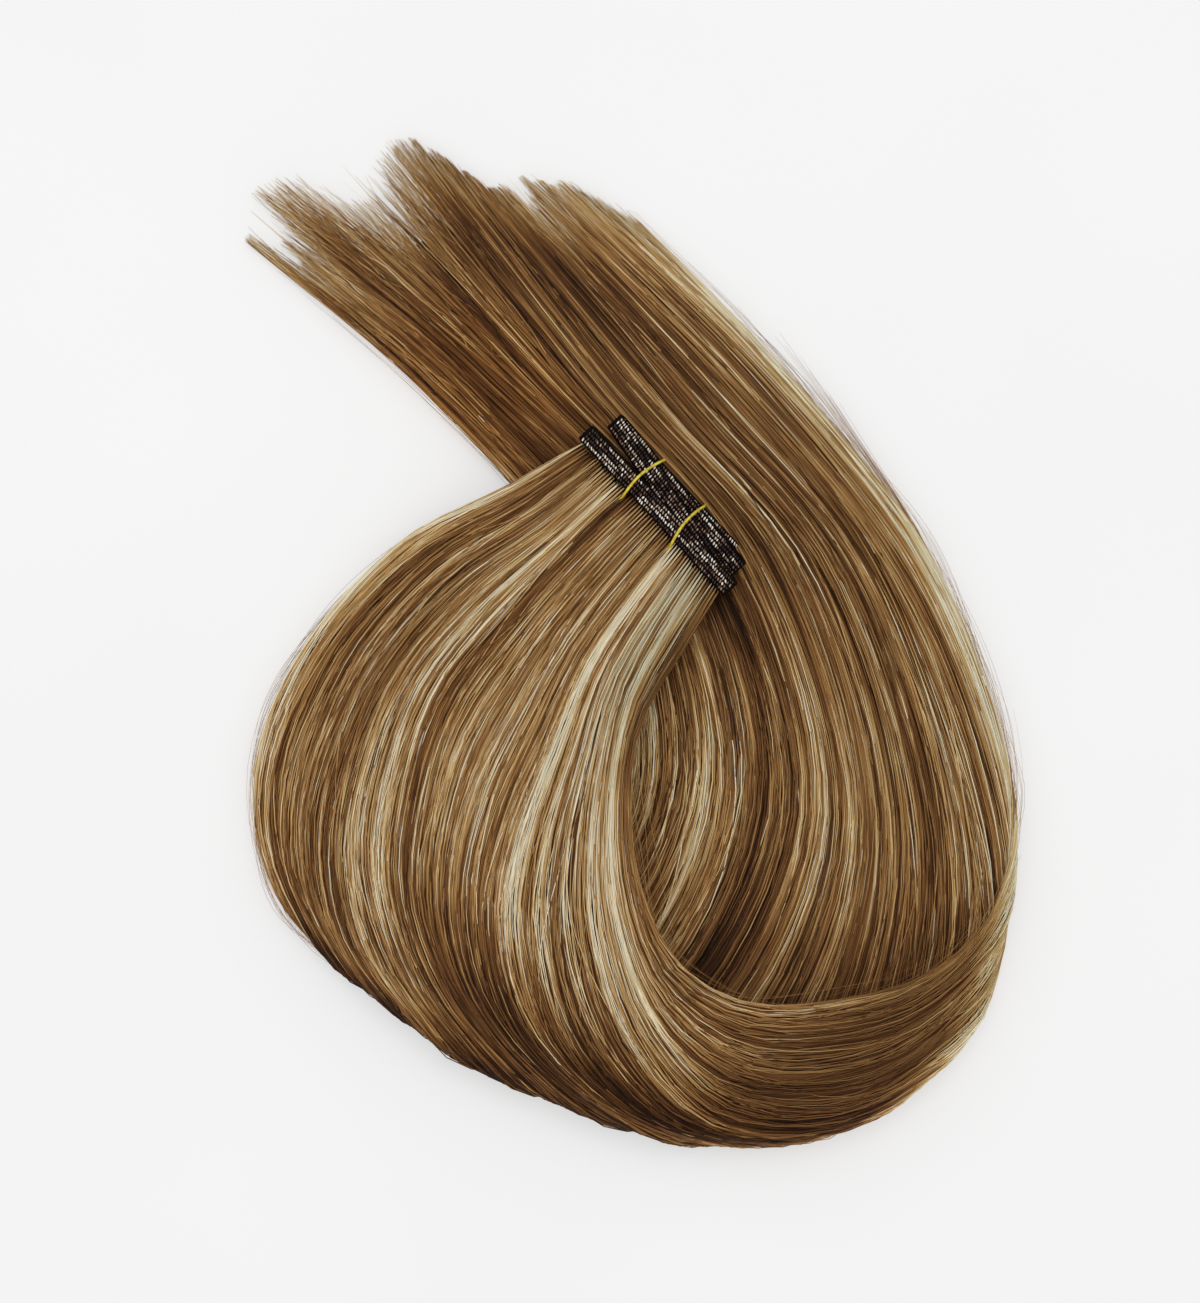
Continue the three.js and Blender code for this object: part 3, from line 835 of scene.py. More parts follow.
def settle(obj, slot, *nodes):
    """Says what the finished piece rides on and which CAD nodes it stands for; the slot it is given is not
    used.
    """
    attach(obj, BODY)
    if nodes:
        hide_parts(*nodes)


# Materials.


def material_of(make, settings):
    """The material that a function makes, made once and named for it."""
    material = bpy.data.materials.get(make.__name__)
    if material is None:
        material = bpy.data.materials.new(make.__name__)
        material.use_nodes = True
        tree = material.node_tree
        make(settings, tree, tree.nodes["Principled BSDF"])
    return material


def dyed_straight_hair(settings, tree, shader):
    """Human hair, bleached and dyed in streaks and brushed straight: each strand has its own tone from dark
    brown to cream and a warm or cool cast, with a soft long highlight from its smooth cuticle."""
    place = add_node(tree, "ShaderNodeUVMap", uv_map=BAKE_MAP)
    split = add_node(tree, "ShaderNodeSeparateXYZ", {"Vector": place.outputs["UV"]})
    tones = add_node(tree, "ShaderNodeValToRGB", {"Fac": split.outputs["Y"]}, stops=(
        (0.0, settings.lowlight),
        (0.22, settings.brown),
        (0.45, settings.chestnut),
        (0.64, settings.honey),
        (0.82, settings.blonde),
        (1.0, settings.cream),
    ))
    casts = add_node(tree, "ShaderNodeValToRGB", {"Fac": split.outputs["X"]}, stops=(
        (0.0, settings.cool_cast),
        (0.5, (1.0, 1.0, 1.0)),
        (1.0, settings.warm_cast),
    ))
    # The colour mix's factor, its two colours and its result go by number, because their names repeat.
    tinted = add_node(tree, "ShaderNodeMix", {
        0: 1.0,
        6: tones.outputs["Color"],
        7: casts.outputs["Color"],
    }, data_type="RGBA", blend_type="MULTIPLY")
    give(tree, shader, {
        "Base Color": tinted.outputs[2],
        "Roughness": 0.42,
        "IOR": 1.55,
        "Specular IOR Level": 0.09,
    })


def shaded_inner_hair(settings, tree, shader):
    """The same straight hair beneath the top strands, in its own shadow: dark streaks about 1 mm wide."""
    place = add_node(tree, "ShaderNodeUVMap", uv_map=BAKE_MAP)
    # The way round a lock is about 120 mm, so 120 cells across it are 1 mm streaks.
    drawn = add_node(tree, "ShaderNodeMapping", {"Vector": place.outputs["UV"], "Scale": (4.0, 120.0, 1.0)})
    grain = add_node(tree, "ShaderNodeTexNoise", {
        "Vector": drawn.outputs["Vector"],
        "Scale": 1.0,
        "Detail": 4.0,
    })
    split = add_node(tree, "ShaderNodeSeparateXYZ", {"Vector": place.outputs["UV"]})
    paler = add_node(tree, "ShaderNodeMapRange", {
        "Value": split.outputs["X"],
        "From Min": 0.8,
        "From Max": 1.0,
        "To Min": 0.0,
        "To Max": 0.2,
    })
    shift = add_node(tree, "ShaderNodeMath", {
        0: grain.outputs["Fac"],
        1: paler.outputs["Result"],
    }, operation="ADD")
    tones = add_node(tree, "ShaderNodeValToRGB", {"Fac": shift.outputs["Value"]}, stops=(
        (0.3, settings.lowlight),
        (0.55, settings.brown),
        (0.75, settings.chestnut),
    ))
    bump = add_node(tree, "ShaderNodeBump", {
        "Height": grain.outputs["Fac"],
        "Strength": 0.5,
        "Distance": 0.6 * MM,
    })
    give(tree, shader, {
        "Base Color": tones.outputs["Color"],
        "Normal": bump.outputs["Normal"],
        "Roughness": 0.7,
        "Specular IOR Level": 0.1,
    })


def dark_sewing_thread(settings, tree, shader):
    """Spun polyester sewing thread, dyed near-black brown: a dull soft sheen with fine twisted plies."""
    place = add_node(tree, "ShaderNodeTexCoord")
    # Plies are about 0.25 mm apart, and 1 m over that is 4000 cells.
    ply = add_node(tree, "ShaderNodeTexNoise", {
        "Vector": place.outputs["Object"],
        "Scale": 4000.0,
        "Detail": 2.0,
    })
    tones = add_node(tree, "ShaderNodeValToRGB", {"Fac": ply.outputs["Fac"]}, stops=(
        (0.35, settings.thread),
        (0.7, settings.thread_light),
    ))
    bump = add_node(tree, "ShaderNodeBump", {
        "Height": ply.outputs["Fac"],
        "Strength": 0.4,
        "Distance": 0.15 * MM,
    })
    give(tree, shader, {
        "Base Color": tones.outputs["Color"],
        "Normal": bump.outputs["Normal"],
        "Roughness": 0.6,
        "Specular IOR Level": 0.06,
    })


def stitched_root_hair(settings, tree, shader):
    """Hair ends caught between the stitches: short glossy bars from brown to cream."""
    place = add_node(tree, "ShaderNodeUVMap", uv_map=BAKE_MAP)
    split = add_node(tree, "ShaderNodeSeparateXYZ", {"Vector": place.outputs["UV"]})
    tones = add_node(tree, "ShaderNodeValToRGB", {"Fac": split.outputs["Y"]}, stops=(
        (0.0, settings.thread_light),
        (0.35, settings.root_brown),
        (0.7, settings.root_beige),
        (1.0, settings.root_cream),
    ))
    give(tree, shader, {"Base Color": tones.outputs["Color"], "Roughness": 0.38})


def golden_elastic_cord(settings, tree, shader):
    """Golden yellow elastic cord, polyurethane drawn out thin: glossy, with faint clouds of deeper and
    lighter yellow along it."""
    place = add_node(tree, "ShaderNodeUVMap", uv_map=BAKE_MAP)
    # The way round the stack is about 50 mm, so 60 cells along it are clouds of a little under 1 mm.
    drawn = add_node(tree, "ShaderNodeMapping", {"Vector": place.outputs["UV"], "Scale": (60.0, 3.0, 1.0)})
    clouds = add_node(tree, "ShaderNodeTexNoise", {
        "Vector": drawn.outputs["Vector"],
        "Scale": 1.0,
        "Detail": 3.0,
    })
    tones = add_node(tree, "ShaderNodeValToRGB", {"Fac": clouds.outputs["Fac"]}, stops=(
        (0.3, settings.shade),
        (0.5, settings.yellow),
        (0.7, settings.light),
    ))
    give(tree, shader, {
        "Base Color": tones.outputs["Color"],
        "Roughness": 0.28,
        "Coat Weight": 0.3,
        "Coat Roughness": 0.15,
    })


def matt_white_board(settings, tree, shader):
    """Matt white acrylic board lit from below, its coating faintly uneven: shadows on it are pale."""
    place = add_node(tree, "ShaderNodeTexCoord")
    # Uneven patches are about 170 mm wide, and 1 m over that is 6 cells.
    clouds = add_node(tree, "ShaderNodeTexNoise", {
        "Vector": place.outputs["Object"],
        "Scale": 6.0,
        "Detail": 2.0,
    })
    tones = add_node(tree, "ShaderNodeValToRGB", {"Fac": clouds.outputs["Fac"]}, stops=(
        (0.2, settings.board),
        (0.8, settings.board_light),
    ))
    give(tree, shader, {
        "Base Color": tones.outputs["Color"],
        "Roughness": 0.9,
        "Specular IOR Level": 0.1,
        "Emission Color": (1, 1, 1, 1),
        "Emission Strength": 0.45,
    })


# Settings.


def colour(label, text, code):
    """Colour that a user may change, from its sRGB hex code."""
    return bpy.props.FloatVectorProperty(
        name=label, description=text, default=linear_colour(code), subtype="COLOR", min=0, max=1)


def length(label, text, size):
    """Length that a user may change, from millimetres."""
    return bpy.props.FloatProperty(
        name=label, description=text, default=size * MM, min=0, unit="LENGTH", precision=5)


def number(label, text, default, least=1):
    """Number of things that a user may change."""
    return bpy.props.IntProperty(name=label, description=text, default=default, min=least)


class HairSettings(bpy.types.PropertyGroup):
    fan_count: number("Fan strands", "Strands from the seam to the turn-over of each lock", 680)
    tail_count: number("Tail strands", "Strands from the turn-over to the tips of each lock", 680)
    tip_count: number("Tip strands", "Short strands that fill the tips of each lock", 420)
    stray_count: number("Stray hairs", "Fine hairs that stand away from the outline", 330, STRAY_WISP)
    strand_width: length("Strand width", "Width of one drawn strand, which stands for a few hairs", 0.34)
    stray_width: length("Stray hair width", "Width of one stray hair", 0.15)
    lowlight: colour("Lowlight", "Darkest dyed tone", "#24140a")
    brown: colour("Brown", "Ashy brown", "#5c391e")
    chestnut: colour("Chestnut", "Middle brown", "#8e6136")
    honey: colour("Honey", "Golden brown", "#bb8d54")
    blonde: colour("Blonde", "Golden blonde", "#e2c288")
    cream: colour("Cream", "Palest bleached tone", "#faf2d8")
    warm_cast: colour("Warm cast", "Tint of the warm hair on the inner side of the tail", "#fff4e2")
    cool_cast: colour("Cool cast", "Tint of the ashy hair at the right root and outer rim", "#e6ecee")


class TrackSettings(bpy.types.PropertyGroup):
    stitch_pitch: length("Stitch pitch", "Distance from one stitch to the next along a row", 0.85)
    thread: colour("Thread", "Dark sewing thread", "#050202")
    thread_light: colour("Thread highlight", "Lighter plies of the thread", "#160b09")
    root_brown: colour("Root brown", "Brown hair between the stitches", "#6d4c3c")
    root_beige: colour("Root beige", "Beige hair between the stitches", "#b39c86")
    root_cream: colour("Root cream", "Bleached hair between the stitches", "#f2ecdf")


class TieSettings(bpy.types.PropertyGroup):
    tie_width: length("Tie width", "Thickness of the elastic cord", 0.76)
    shade: colour("Shade", "Deep tone of the elastic", "#a8850e")
    yellow: colour("Yellow", "Main tone of the elastic", "#d0b81c")
    light: colour("Light", "Bright tone of the elastic", "#e4d23e")


class StageSettings(bpy.types.PropertyGroup):
    camera_height: length("Camera height", "Height of the camera above the board", 1100)
    view_height: length("View height", "Length of the board that fills the picture from top to bottom", 364.8)
    board: colour("Board", "White of the board", "#b2b2b2")
    board_light: colour("Board light", "Lightest white of the board", "#b8b8b8")


# The stage.


class WEFT_OT_stage(bpy.types.Operator):
    """Camera above the loop, soft light and a pale board"""

    bl_idname = "weft.stage"
    bl_label = "Set the stage"

    def execute(self, context):
        settings = context.scene.weft_stage
        corners = [(x * FLOOR_REACH, y * FLOOR_REACH, 0) for x, y in ((-1, -1), (1, -1), (1, 1), (-1, 1))]
        floor_mesh = bpy.data.meshes.new("floor_board")
        floor_mesh.from_pydata(corners, [], [(0, 1, 2, 3)])
        floor_mesh.materials.append(material_of(matt_white_board, settings))
        link_object("floor_board", floor_mesh)

        camera = bpy.data.cameras.new("camera_above")
        camera.sensor_width = SENSOR
        camera.lens = SENSOR * settings.camera_height / settings.view_height
        eye = link_object("camera_above", camera)
        eye.location = (VIEW_CENTRE[0] * MM, VIEW_CENTRE[1] * MM, settings.camera_height)
        context.scene.camera = eye

        for name, place, size, power in LIGHTS:
            lamp = bpy.data.lights.new(name, "AREA")
            lamp.shape = "DISK"
            lamp.size = size
            lamp.energy = power
            stand = link_object(name, lamp)
            stand.location = place
            x, y, z = place
            stand.rotation_euler = (math.atan2(math.hypot(x, y), z), 0, math.atan2(-x, y) + math.pi)

        world = bpy.data.worlds.new("studio")
        world.use_nodes = True
        give(world.node_tree, world.node_tree.nodes["Background"], {
            "Color": (1, 1, 1, 1),
            "Strength": SKY_STRENGTH,
        })
        context.scene.world = world
        context.scene.view_settings.view_transform = "Standard"
        return {"FINISHED"}


# The hair.


class WEFT_OT_bodies(bpy.types.Operator):
    """Inner bodies of the three locks, which carry the strands"""

    bl_idname = "weft.bodies"
    bl_label = "Make the lock bodies"

    def execute(self, context):
        material = material_of(shaded_inner_hair, context.scene.weft_hair)
        look_round = np.linspace(-BODY_LOOK_ROUND, BODY_LOOK_ROUND, 5)
        for name, first, last in LOCKS:
            share = np.linspace(first + BODY_GAP, last - BODY_GAP, BODY_COLUMNS)
            across = np.concatenate([share, share[::-1]])
            side = np.repeat([1.0, -1.0], BODY_COLUMNS)[:, None]
            end = np.min([tip_end(across + d) for d in look_round], axis=0) - BODY_SHORT
            along = np.linspace(0.0, 1.0, BODY_STATIONS) * end[:, None]
            layer = side * (BODY_LAYER - BODY_SLIMMING * BODY_SLIM(along))
            place = np.broadcast_to(across[:, None], along.shape)
            outer, inner = (hair_relief(seed, place, along) for seed in (FAN_RELIEF_SEED, TAIL_RELIEF_SEED))
            points, _ = curtain(along, place, layer, np.where(side > 0, outer, inner))
            obj = link_object("hair_body_" + name, loft_mesh("hair_body_" + name, points.transpose(1, 0, 2)))
            obj.data.materials.append(material)
            settle(obj, "hair", "hair_lock_" + name)
        return {"FINISHED"}


def side_strands(rng, count, first, last):
    """Places across a lock, and which of them lie down its outer side instead of on its face."""
    share = first + (last - first) * (np.arange(count) + rng.random(count)) / count
    on_side = rng.random(count) < (SIDE_SHARE if first == 0 or last == 1 else 0.0)
    outer = 0.0 if first == 0 else 1.0
    share = np.where(on_side, outer + (1 - 2 * outer) * SIDE_RIM * rng.random(count), share)
    return share, on_side


def wander(rng, count, steps, reach):
    """Slow random change along each strand."""
    t = np.linspace(0, 1, steps)
    change = np.zeros((count, steps))
    for turns in WANDER_TURNS:
        size = reach * rng.normal(size=(count, 1)) / turns
        change += size * np.sin(2 * math.pi * (turns * t + rng.random((count, 1))))
    return change


def sideways_drift(rng, count, steps, reach, loose_share):
    """Drift of each strand across the hair, further for the share of them that lies loose."""
    loose = np.where(rng.random(count) < loose_share, LOOSE_FACTOR, 1.0)[:, None]
    return wander(rng, count, steps, reach) * loose


def strand_layers(rng, face, fuzz, on_side, steps):
    """Layers of strands that lie near one face of the hair, or anywhere on its outer side."""
    count = len(on_side)
    layer = face * (FACE_LAYER - LAYER_DEPTH * rng.random((count, 1)) ** LAYER_POWER)
    layer = layer + wander(rng, count, steps, LAYER_WANDER)
    layer = layer + fuzz * rng.normal(size=(count, steps))
    return np.where(on_side[:, None], rng.uniform(-SIDE_LAYER, SIDE_LAYER, (count, 1)), layer)


def strand_points(seed, along, across, layer):
    """Points of strands that follow the tresses, apart from those deep in the hair."""
    relief = hair_relief(seed, across, along) * (np.abs(layer) > RELIEF_LAYER)
    return curtain(along, across, layer, relief, STRAND_FLOOR)[0]


def make_strands(name, settings, points, width, tone, cast):
    """Piece of dyed strands along lines of points."""
    material = material_of(dyed_straight_hair, settings)
    mesh = line_mesh(name, points, thickness=width, map_u=cast, map_v=np.clip(tone, *TONE_RANGE))
    obj = grow(name, mesh, strands_along_lines, {"Sides": STRAND_SIDES, "Material": material})
    bake_map(obj.data, STRAND_SIDES)
    settle(obj, "hair")


def lay_fan(name, settings, rng, share, on_side):
    """Strands in tufts at the seam, which run past the turn-over to where they are hidden."""
    count = len(share)
    fold = fold_place(share)[:, None]
    turn_start = fold - FAN_TURN_LEAD
    open_run = np.linspace(0, 1, FAN_OPEN_STEPS) * turn_start
    turn_run = turn_start + np.linspace(0, 1, FAN_TURN_STEPS)[1:] * FAN_TURN_LENGTH
    along = np.concatenate([open_run, turn_run], axis=1)
    tuft = (np.floor(share * TUFTS) + 0.5 + TUFT_SCATTER * (rng.random(count) - 0.5)) / TUFTS
    gather = TUFT_PULL * TUFT_REACH(along)
    drift = sideways_drift(rng, count, along.shape[1], FAN_DRIFT, FAN_LOOSE) * FAN_DRIFT_EASE(along)
    across = np.clip(share[:, None] + (tuft - share)[:, None] * gather + drift, 0, 1)
    layer = strand_layers(rng, 1, FAN_FUZZ, on_side, along.shape[1])
    under = (rng.random(count) < FAN_UNDER) & (share > FAN_UNDER_FROM) & ~on_side
    points = strand_points(FAN_RELIEF_SEED, along, across, np.where(under[:, None], -layer, layer))
    tuck = points[:, :1] - points[:, 1:2]
    tuck *= FAN_TUCK / np.linalg.norm(tuck, axis=2, keepdims=True)
    points = np.concatenate([points[:, :1] + tuck, points], axis=1)
    along, across = (np.concatenate([place[:, :1], place], axis=1) for place in (along, across))

    past = along - fold
    tone = strand_tone(rng, FAN_TONE_SEED, FAN_TONE, FAN_STREAKS, FAN_STREAK_STRENGTH, across, along)
    tone = tone + shades(FAN_SHADES, across, along) + shades(FOLD_SHADES, across, past)
    band = patch(BAND, across, past)
    tone = tone + BAND_PULL * band * (BAND_TONE - tone)
    ashy = patch(ASHY_ROOT, across, along) + BAND_ASH * band
    tone = tone + ASH_PALER * ashy
    width = settings.strand_width / 2 * rng.uniform(*FAN_WIDTHS, (count, 1))
    width = width * (FAN_ROOT_WIDTH + (1 - FAN_ROOT_WIDTH) * FAN_ROOT_EASE(along))
    width[:, -1] *= FAN_END_WIDTH
    make_strands(name, settings, points, width, tone, colour_cast(along, -ashy))


class WEFT_OT_fan(bpy.types.Operator):
    """Strands that fan out from the seam and go round the turn-over"""

    bl_idname = "weft.fan"
    bl_label = "Lay the fan strands"

    def execute(self, context):
        settings = context.scene.weft_hair
        for order, (name, first, last) in enumerate(LOCKS):
            rng = np.random.default_rng(FAN_SEED + order)
            lay_fan("hair_fan_" + name, settings, rng, *side_strands(rng, settings.fan_count, first, last))
        return {"FINISHED"}


def lay_tail(name, settings, rng, share, on_side, begin, steps, loose_share):
    """Strands from their beginnings to the ragged tips, gathered into fine wisps at the end."""
    wisp_rng = np.random.default_rng(WISP_SEED)
    wisp_end = WISP_UNEVEN * wisp_rng.random(WISPS + 1)
    wisp_shift = wisp_rng.uniform(-WISP_SHIFT, WISP_SHIFT, WISPS + 1)
    wisp = np.clip((share * WISPS).astype(int), 0, WISPS)
    middle = (wisp + 0.5 + wisp_shift[wisp]) / WISPS
    count = len(share)
    end = tip_end(share) - wisp_end[wisp] - TIP_UNEVEN * rng.random(count) ** 2
    broken = rng.random(count) < SHORT_SHARE
    end = (end - SHORT_BY * broken * rng.random(count))[:, None]
    begin = begin[:, None]
    along = begin + (end - begin) * np.linspace(0, 1, steps)
    gather = WISP_PULL * WISP_REACH(along)
    drift = sideways_drift(rng, count, steps, TAIL_DRIFT, loose_share)
    across = np.clip(share[:, None] + (middle - share)[:, None] * gather + drift, 0, 1)
    layer = strand_layers(rng, -1, TAIL_FUZZ, on_side, steps)
    points = strand_points(TAIL_RELIEF_SEED, along, across, layer)

    before_end = along - end
    tone = strand_tone(rng, TAIL_TONE_SEED, TAIL_TONE, TAIL_STREAKS, TAIL_STREAK_STRENGTH, across, along)
    tone = tone + shades(TAIL_SHADES, across, along)
    bleached = TIP_TONE - TIP_DARKER * TIP_DARK(across) + TIP_SPREAD * rng.normal(size=(count, 1))
    tone = tone + (bleached - tone) * TIP_BLEACH(before_end)
    width = settings.strand_width / 2 * rng.uniform(*TAIL_WIDTHS, (count, 1))
    width = width * (1 - TIP_THINNING * TIP_THIN(before_end))
    warm = patch(WARM_INSIDE, across, along)
    ashy = TAIL_ASH[0] + TAIL_ASH[1] * TAIL_ASH[2](across)
    make_strands(name, settings, points, width, tone, colour_cast(along, warm - ashy * (1 - warm)))


class WEFT_OT_tail(bpy.types.Operator):
    """Strands that come back under the fan and end in a ragged brush of tips"""

    bl_idname = "weft.tail"
    bl_label = "Lay the tail strands"

    def execute(self, context):
        settings = context.scene.weft_hair
        for order, (name, first, last) in enumerate(LOCKS):
            rng = np.random.default_rng(TAIL_SEED + order)
            share, on_side = side_strands(rng, settings.tail_count, first, last)
            begin = np.maximum(np.interp(share, *np.array(TAIL_STARTS).T), fold_place(share) - TAIL_LEAD)
            lay_tail("hair_tail_" + name, settings, rng, share, on_side, begin, TAIL_STEPS, TAIL_LOOSE)
            share = first + (last - first) * rng.random(settings.tip_count)
            begin = tip_end(share) - rng.uniform(*TIP_LENGTHS, len(share))
            on_face = np.zeros(len(share), bool)
            lay_tail("hair_tips_" + name, settings, rng, share, on_face, begin, TIP_STEPS, 0.0)
        return {"FINISHED"}


class WEFT_OT_strays(bpy.types.Operator):
    """Fine hairs that stand a little away from the outline"""

    bl_idname = "weft.strays"
    bl_label = "Add the stray hairs"

    def execute(self, context):
        settings = context.scene.weft_hair
        rng = np.random.default_rng(STRAY_SEED)
        count = settings.stray_count
        t = np.linspace(0, 1, STRAY_STEPS)
        right_edge = rng.random(count) < 0.5
        share = np.where(right_edge, 1 - STRAY_RIM * rng.random(count), STRAY_RIM * rng.random(count))
        begin = rng.uniform(*STRAY_BEGIN, count)
        run = rng.uniform(*STRAY_RUN, count)
        free = rng.random(count) < STRAY_FREE
        reach = rng.uniform(*STRAY_REACH, count)
        reach = reach * np.where(right_edge & (begin < STRAY_FAR_BEFORE), STRAY_FAR, 1.0)

        wisp = slice(STRAY_WISP)
        right_edge[wisp] = True
        share[wisp] = 1 - WISP_RIM * rng.random(STRAY_WISP)
        begin[wisp] = rng.uniform(*WISP_BEGIN, STRAY_WISP)
        run[wisp] = rng.uniform(*WISP_RUN, STRAY_WISP)
        free[wisp] = True
        reach[wisp] = rng.uniform(*WISP_FAR, STRAY_WISP)

        right_edge, share, begin, run, free, reach = (
            column[:, None] for column in (right_edge, share, begin, run, free, reach))
        along = np.clip(begin + run * t, 0, STRAY_END)
        fold = fold_place(share[:, 0])[:, None]
        across = np.broadcast_to(share, along.shape)
        layer = np.where(along < fold, 1.0, -1.0) * rng.uniform(*STRAY_LAYERS, (count, 1))
        points, right = curtain(along, across, layer, lowest=STRAY_FLOOR)
        turned = smooth((along - fold + FOLD_HALF) / (2 * FOLD_HALF))
        outward = np.where(right_edge, -1.0, 1.0) * (1 - 2 * turned)
        bowed = np.sin(math.pi * t * rng.uniform(*STRAY_BOWS, (count, 1))) ** 2
        swing = reach * np.where(free, t**STRAY_FREE_POWER, bowed)
        points = points + right * (outward * swing)[..., None]
        tone = np.broadcast_to(rng.uniform(*STRAY_TONES, (count, 1)), along.shape)
        width = settings.stray_width / 2 * (1 - STRAY_TAPER * t) * np.ones((count, 1))
        make_strands("hair_strays", settings, points, width, tone, colour_cast(along))
        return {"FINISHED"}


# The track.


def pass_height(i):
    """Height of the middle of a pass of the track."""
    return WEFT_BASE + TRACK_THICK / 2 + i * PASS_PITCH


def pass_side(i, along):
    """Distance of a pass from the middle of the weft, at places along it."""
    left, left_side, right, right_side = PASSES[i]
    return left_side + (right_side - left_side) * (along - left) / (right - left)


def track_path():
    """Middle line of the folded track, from its lower free end to its upper one."""
    points = []
    for i, row in enumerate(PASSES):
        ends = np.array([row[2:], row[:2]])
        if i % 2:
            ends = ends[::-1]
        for along, side in ends[0] + (ends[1] - ends[0]) * np.linspace(0, 1, PASS_STEPS)[:, None]:
            points.append((along, side, pass_height(i)))
        if i + 1 < len(PASSES):
            goal = PASSES[i + 1][2:] if i % 2 else PASSES[i + 1][:2]
            way = np.sign(ends[1][0] - ends[0][0])
            for turn in np.linspace(0, math.pi, BEND_STEPS)[1:-1]:
                points.append((
                    ends[1][0] + way * PASS_PITCH / 2 * math.sin(turn),
                    ends[1][1] + (goal[1] - ends[1][1]) * turn / math.pi,
                    pass_height(i) + PASS_PITCH / 2 * (1 - math.cos(turn)),
                ))
    return weft_point(*np.array(points).T) - PLAN_CENTRE


def track_rings():
    """Sections of the track along its path, with low ribs along each face where the rows of thread lie."""
    middle = track_path()
    across = np.array([WEFT_ALONG[1], -WEFT_ALONG[0], 0])
    travel = np.gradient(middle, axis=0)
    travel -= (travel @ across)[:, None] * across
    travel /= np.linalg.norm(travel, axis=1, keepdims=True)
    normal = np.cross(travel, across)
    w = np.linspace(-1, 1, FACE_STEPS)[1:-1]
    face = FACE_HALF + RIB_HEIGHT * np.cos(RIBS * math.pi * (w + 1 / RIBS + 1))
    face = face * (1 - np.abs(w) ** EDGE_POWER * EDGE_ROUNDING)
    side = np.concatenate([[-1.0], w, [1.0], w[::-1]]) * TRACK_WIDTH / 2
    up = np.concatenate([[0.0], face, [0.0], -face[::-1]])
    return middle[:, None] + across * side[None, :, None] + normal[:, None] * up[None, :, None]


def stitch_shapes(rng, heading, kind, count):
    """Turns and half sizes of stitches of one kind."""
    turn = heading + rng.normal(*kind["slant"], count)
    long = rng.uniform(*kind["length"], count)
    wide = rng.uniform(*kind["width"], count)
    return turn, np.stack([long, wide, np.full(count, kind["height"])], -1)


def sew_pass(rng, i, pitch):
    """Stitches of thread and bars of hair on the upper face of a pass and round the bend below it."""
    left, left_side, right, right_side = PASSES[i]
    first = left - (BEND_REACH if i % 2 else 0.0)
    last = right + (BEND_REACH if i and i % 2 == 0 else 0.0)
    places = np.arange(first + ROW_START, last - ROW_STOP, pitch)
    heading = math.atan2(WEFT_ALONG[1], WEFT_ALONG[0]) - math.atan2(right_side - left_side, right - left)
    knots, bars = [], []
    for row in range(ROW_COUNT):
        a = places + pitch / 2 * (row % 2) + rng.normal(0, ROW_SCATTER[0], len(places))
        a = a[(a > first + ROW_MARGIN) & (a < last - ROW_MARGIN)]
        count = len(a)
        b = pass_side(i, a) + (row - (ROW_COUNT - 1) / 2) * ROW_PITCH + rng.normal(0, ROW_SCATTER[1], count)
        past = np.maximum(np.maximum(left - a, a - right), 0)
        drop = BEND_RADIUS - np.sqrt(BEND_RADIUS**2 - past**2)
        z = pass_height(i) + ROW_HEIGHT - drop + rng.normal(0, ROW_SCATTER[2], count)
        spots = weft_point(a, b, z) - PLAN_CENTRE
        if row % 2 == 0:
            shapes = stitch_shapes(rng, heading, THREAD_KNOT, count)
            knots.append((spots, *shapes, np.full(count, KNOT_TONE)))
        else:
            shapes = stitch_shapes(rng, heading + math.pi / 2, ROOT_BAR, count)
            across = np.full(count, row / ROW_COUNT)
            cells = ripple(BAR_SEED + i, *BAR_CELLS, across, (a + BAR_ORIGIN) / BAR_SPAN)
            mean, over_cells, from_bar_to_bar = BAR_TONES
            tone = mean + over_cells * cells + from_bar_to_bar * rng.normal(size=count)
            bars.append((spots, *shapes, np.clip(tone, *BAR_TONE_RANGE)))
    return knots, bars


def sew_teeth(rng, i, first, last):
    """Teeth of thread that stand out over the hair where it leaves a pass."""
    a = np.arange(first + ROW_START, last - ROW_START, TOOTH_PITCH)
    a = a + rng.normal(0, TOOTH_SCATTER, len(a))
    b = pass_side(i, a) + TRACK_WIDTH / 2 + TOOTH_PAST
    spots = weft_point(a, b, pass_height(i) - TOOTH_BELOW) - PLAN_CENTRE
    heading = math.atan2(WEFT_ALONG[1], WEFT_ALONG[0]) + math.pi / 2
    return spots, *stitch_shapes(rng, heading, SEAM_TOOTH, len(a)), np.full(len(a), KNOT_TONE)


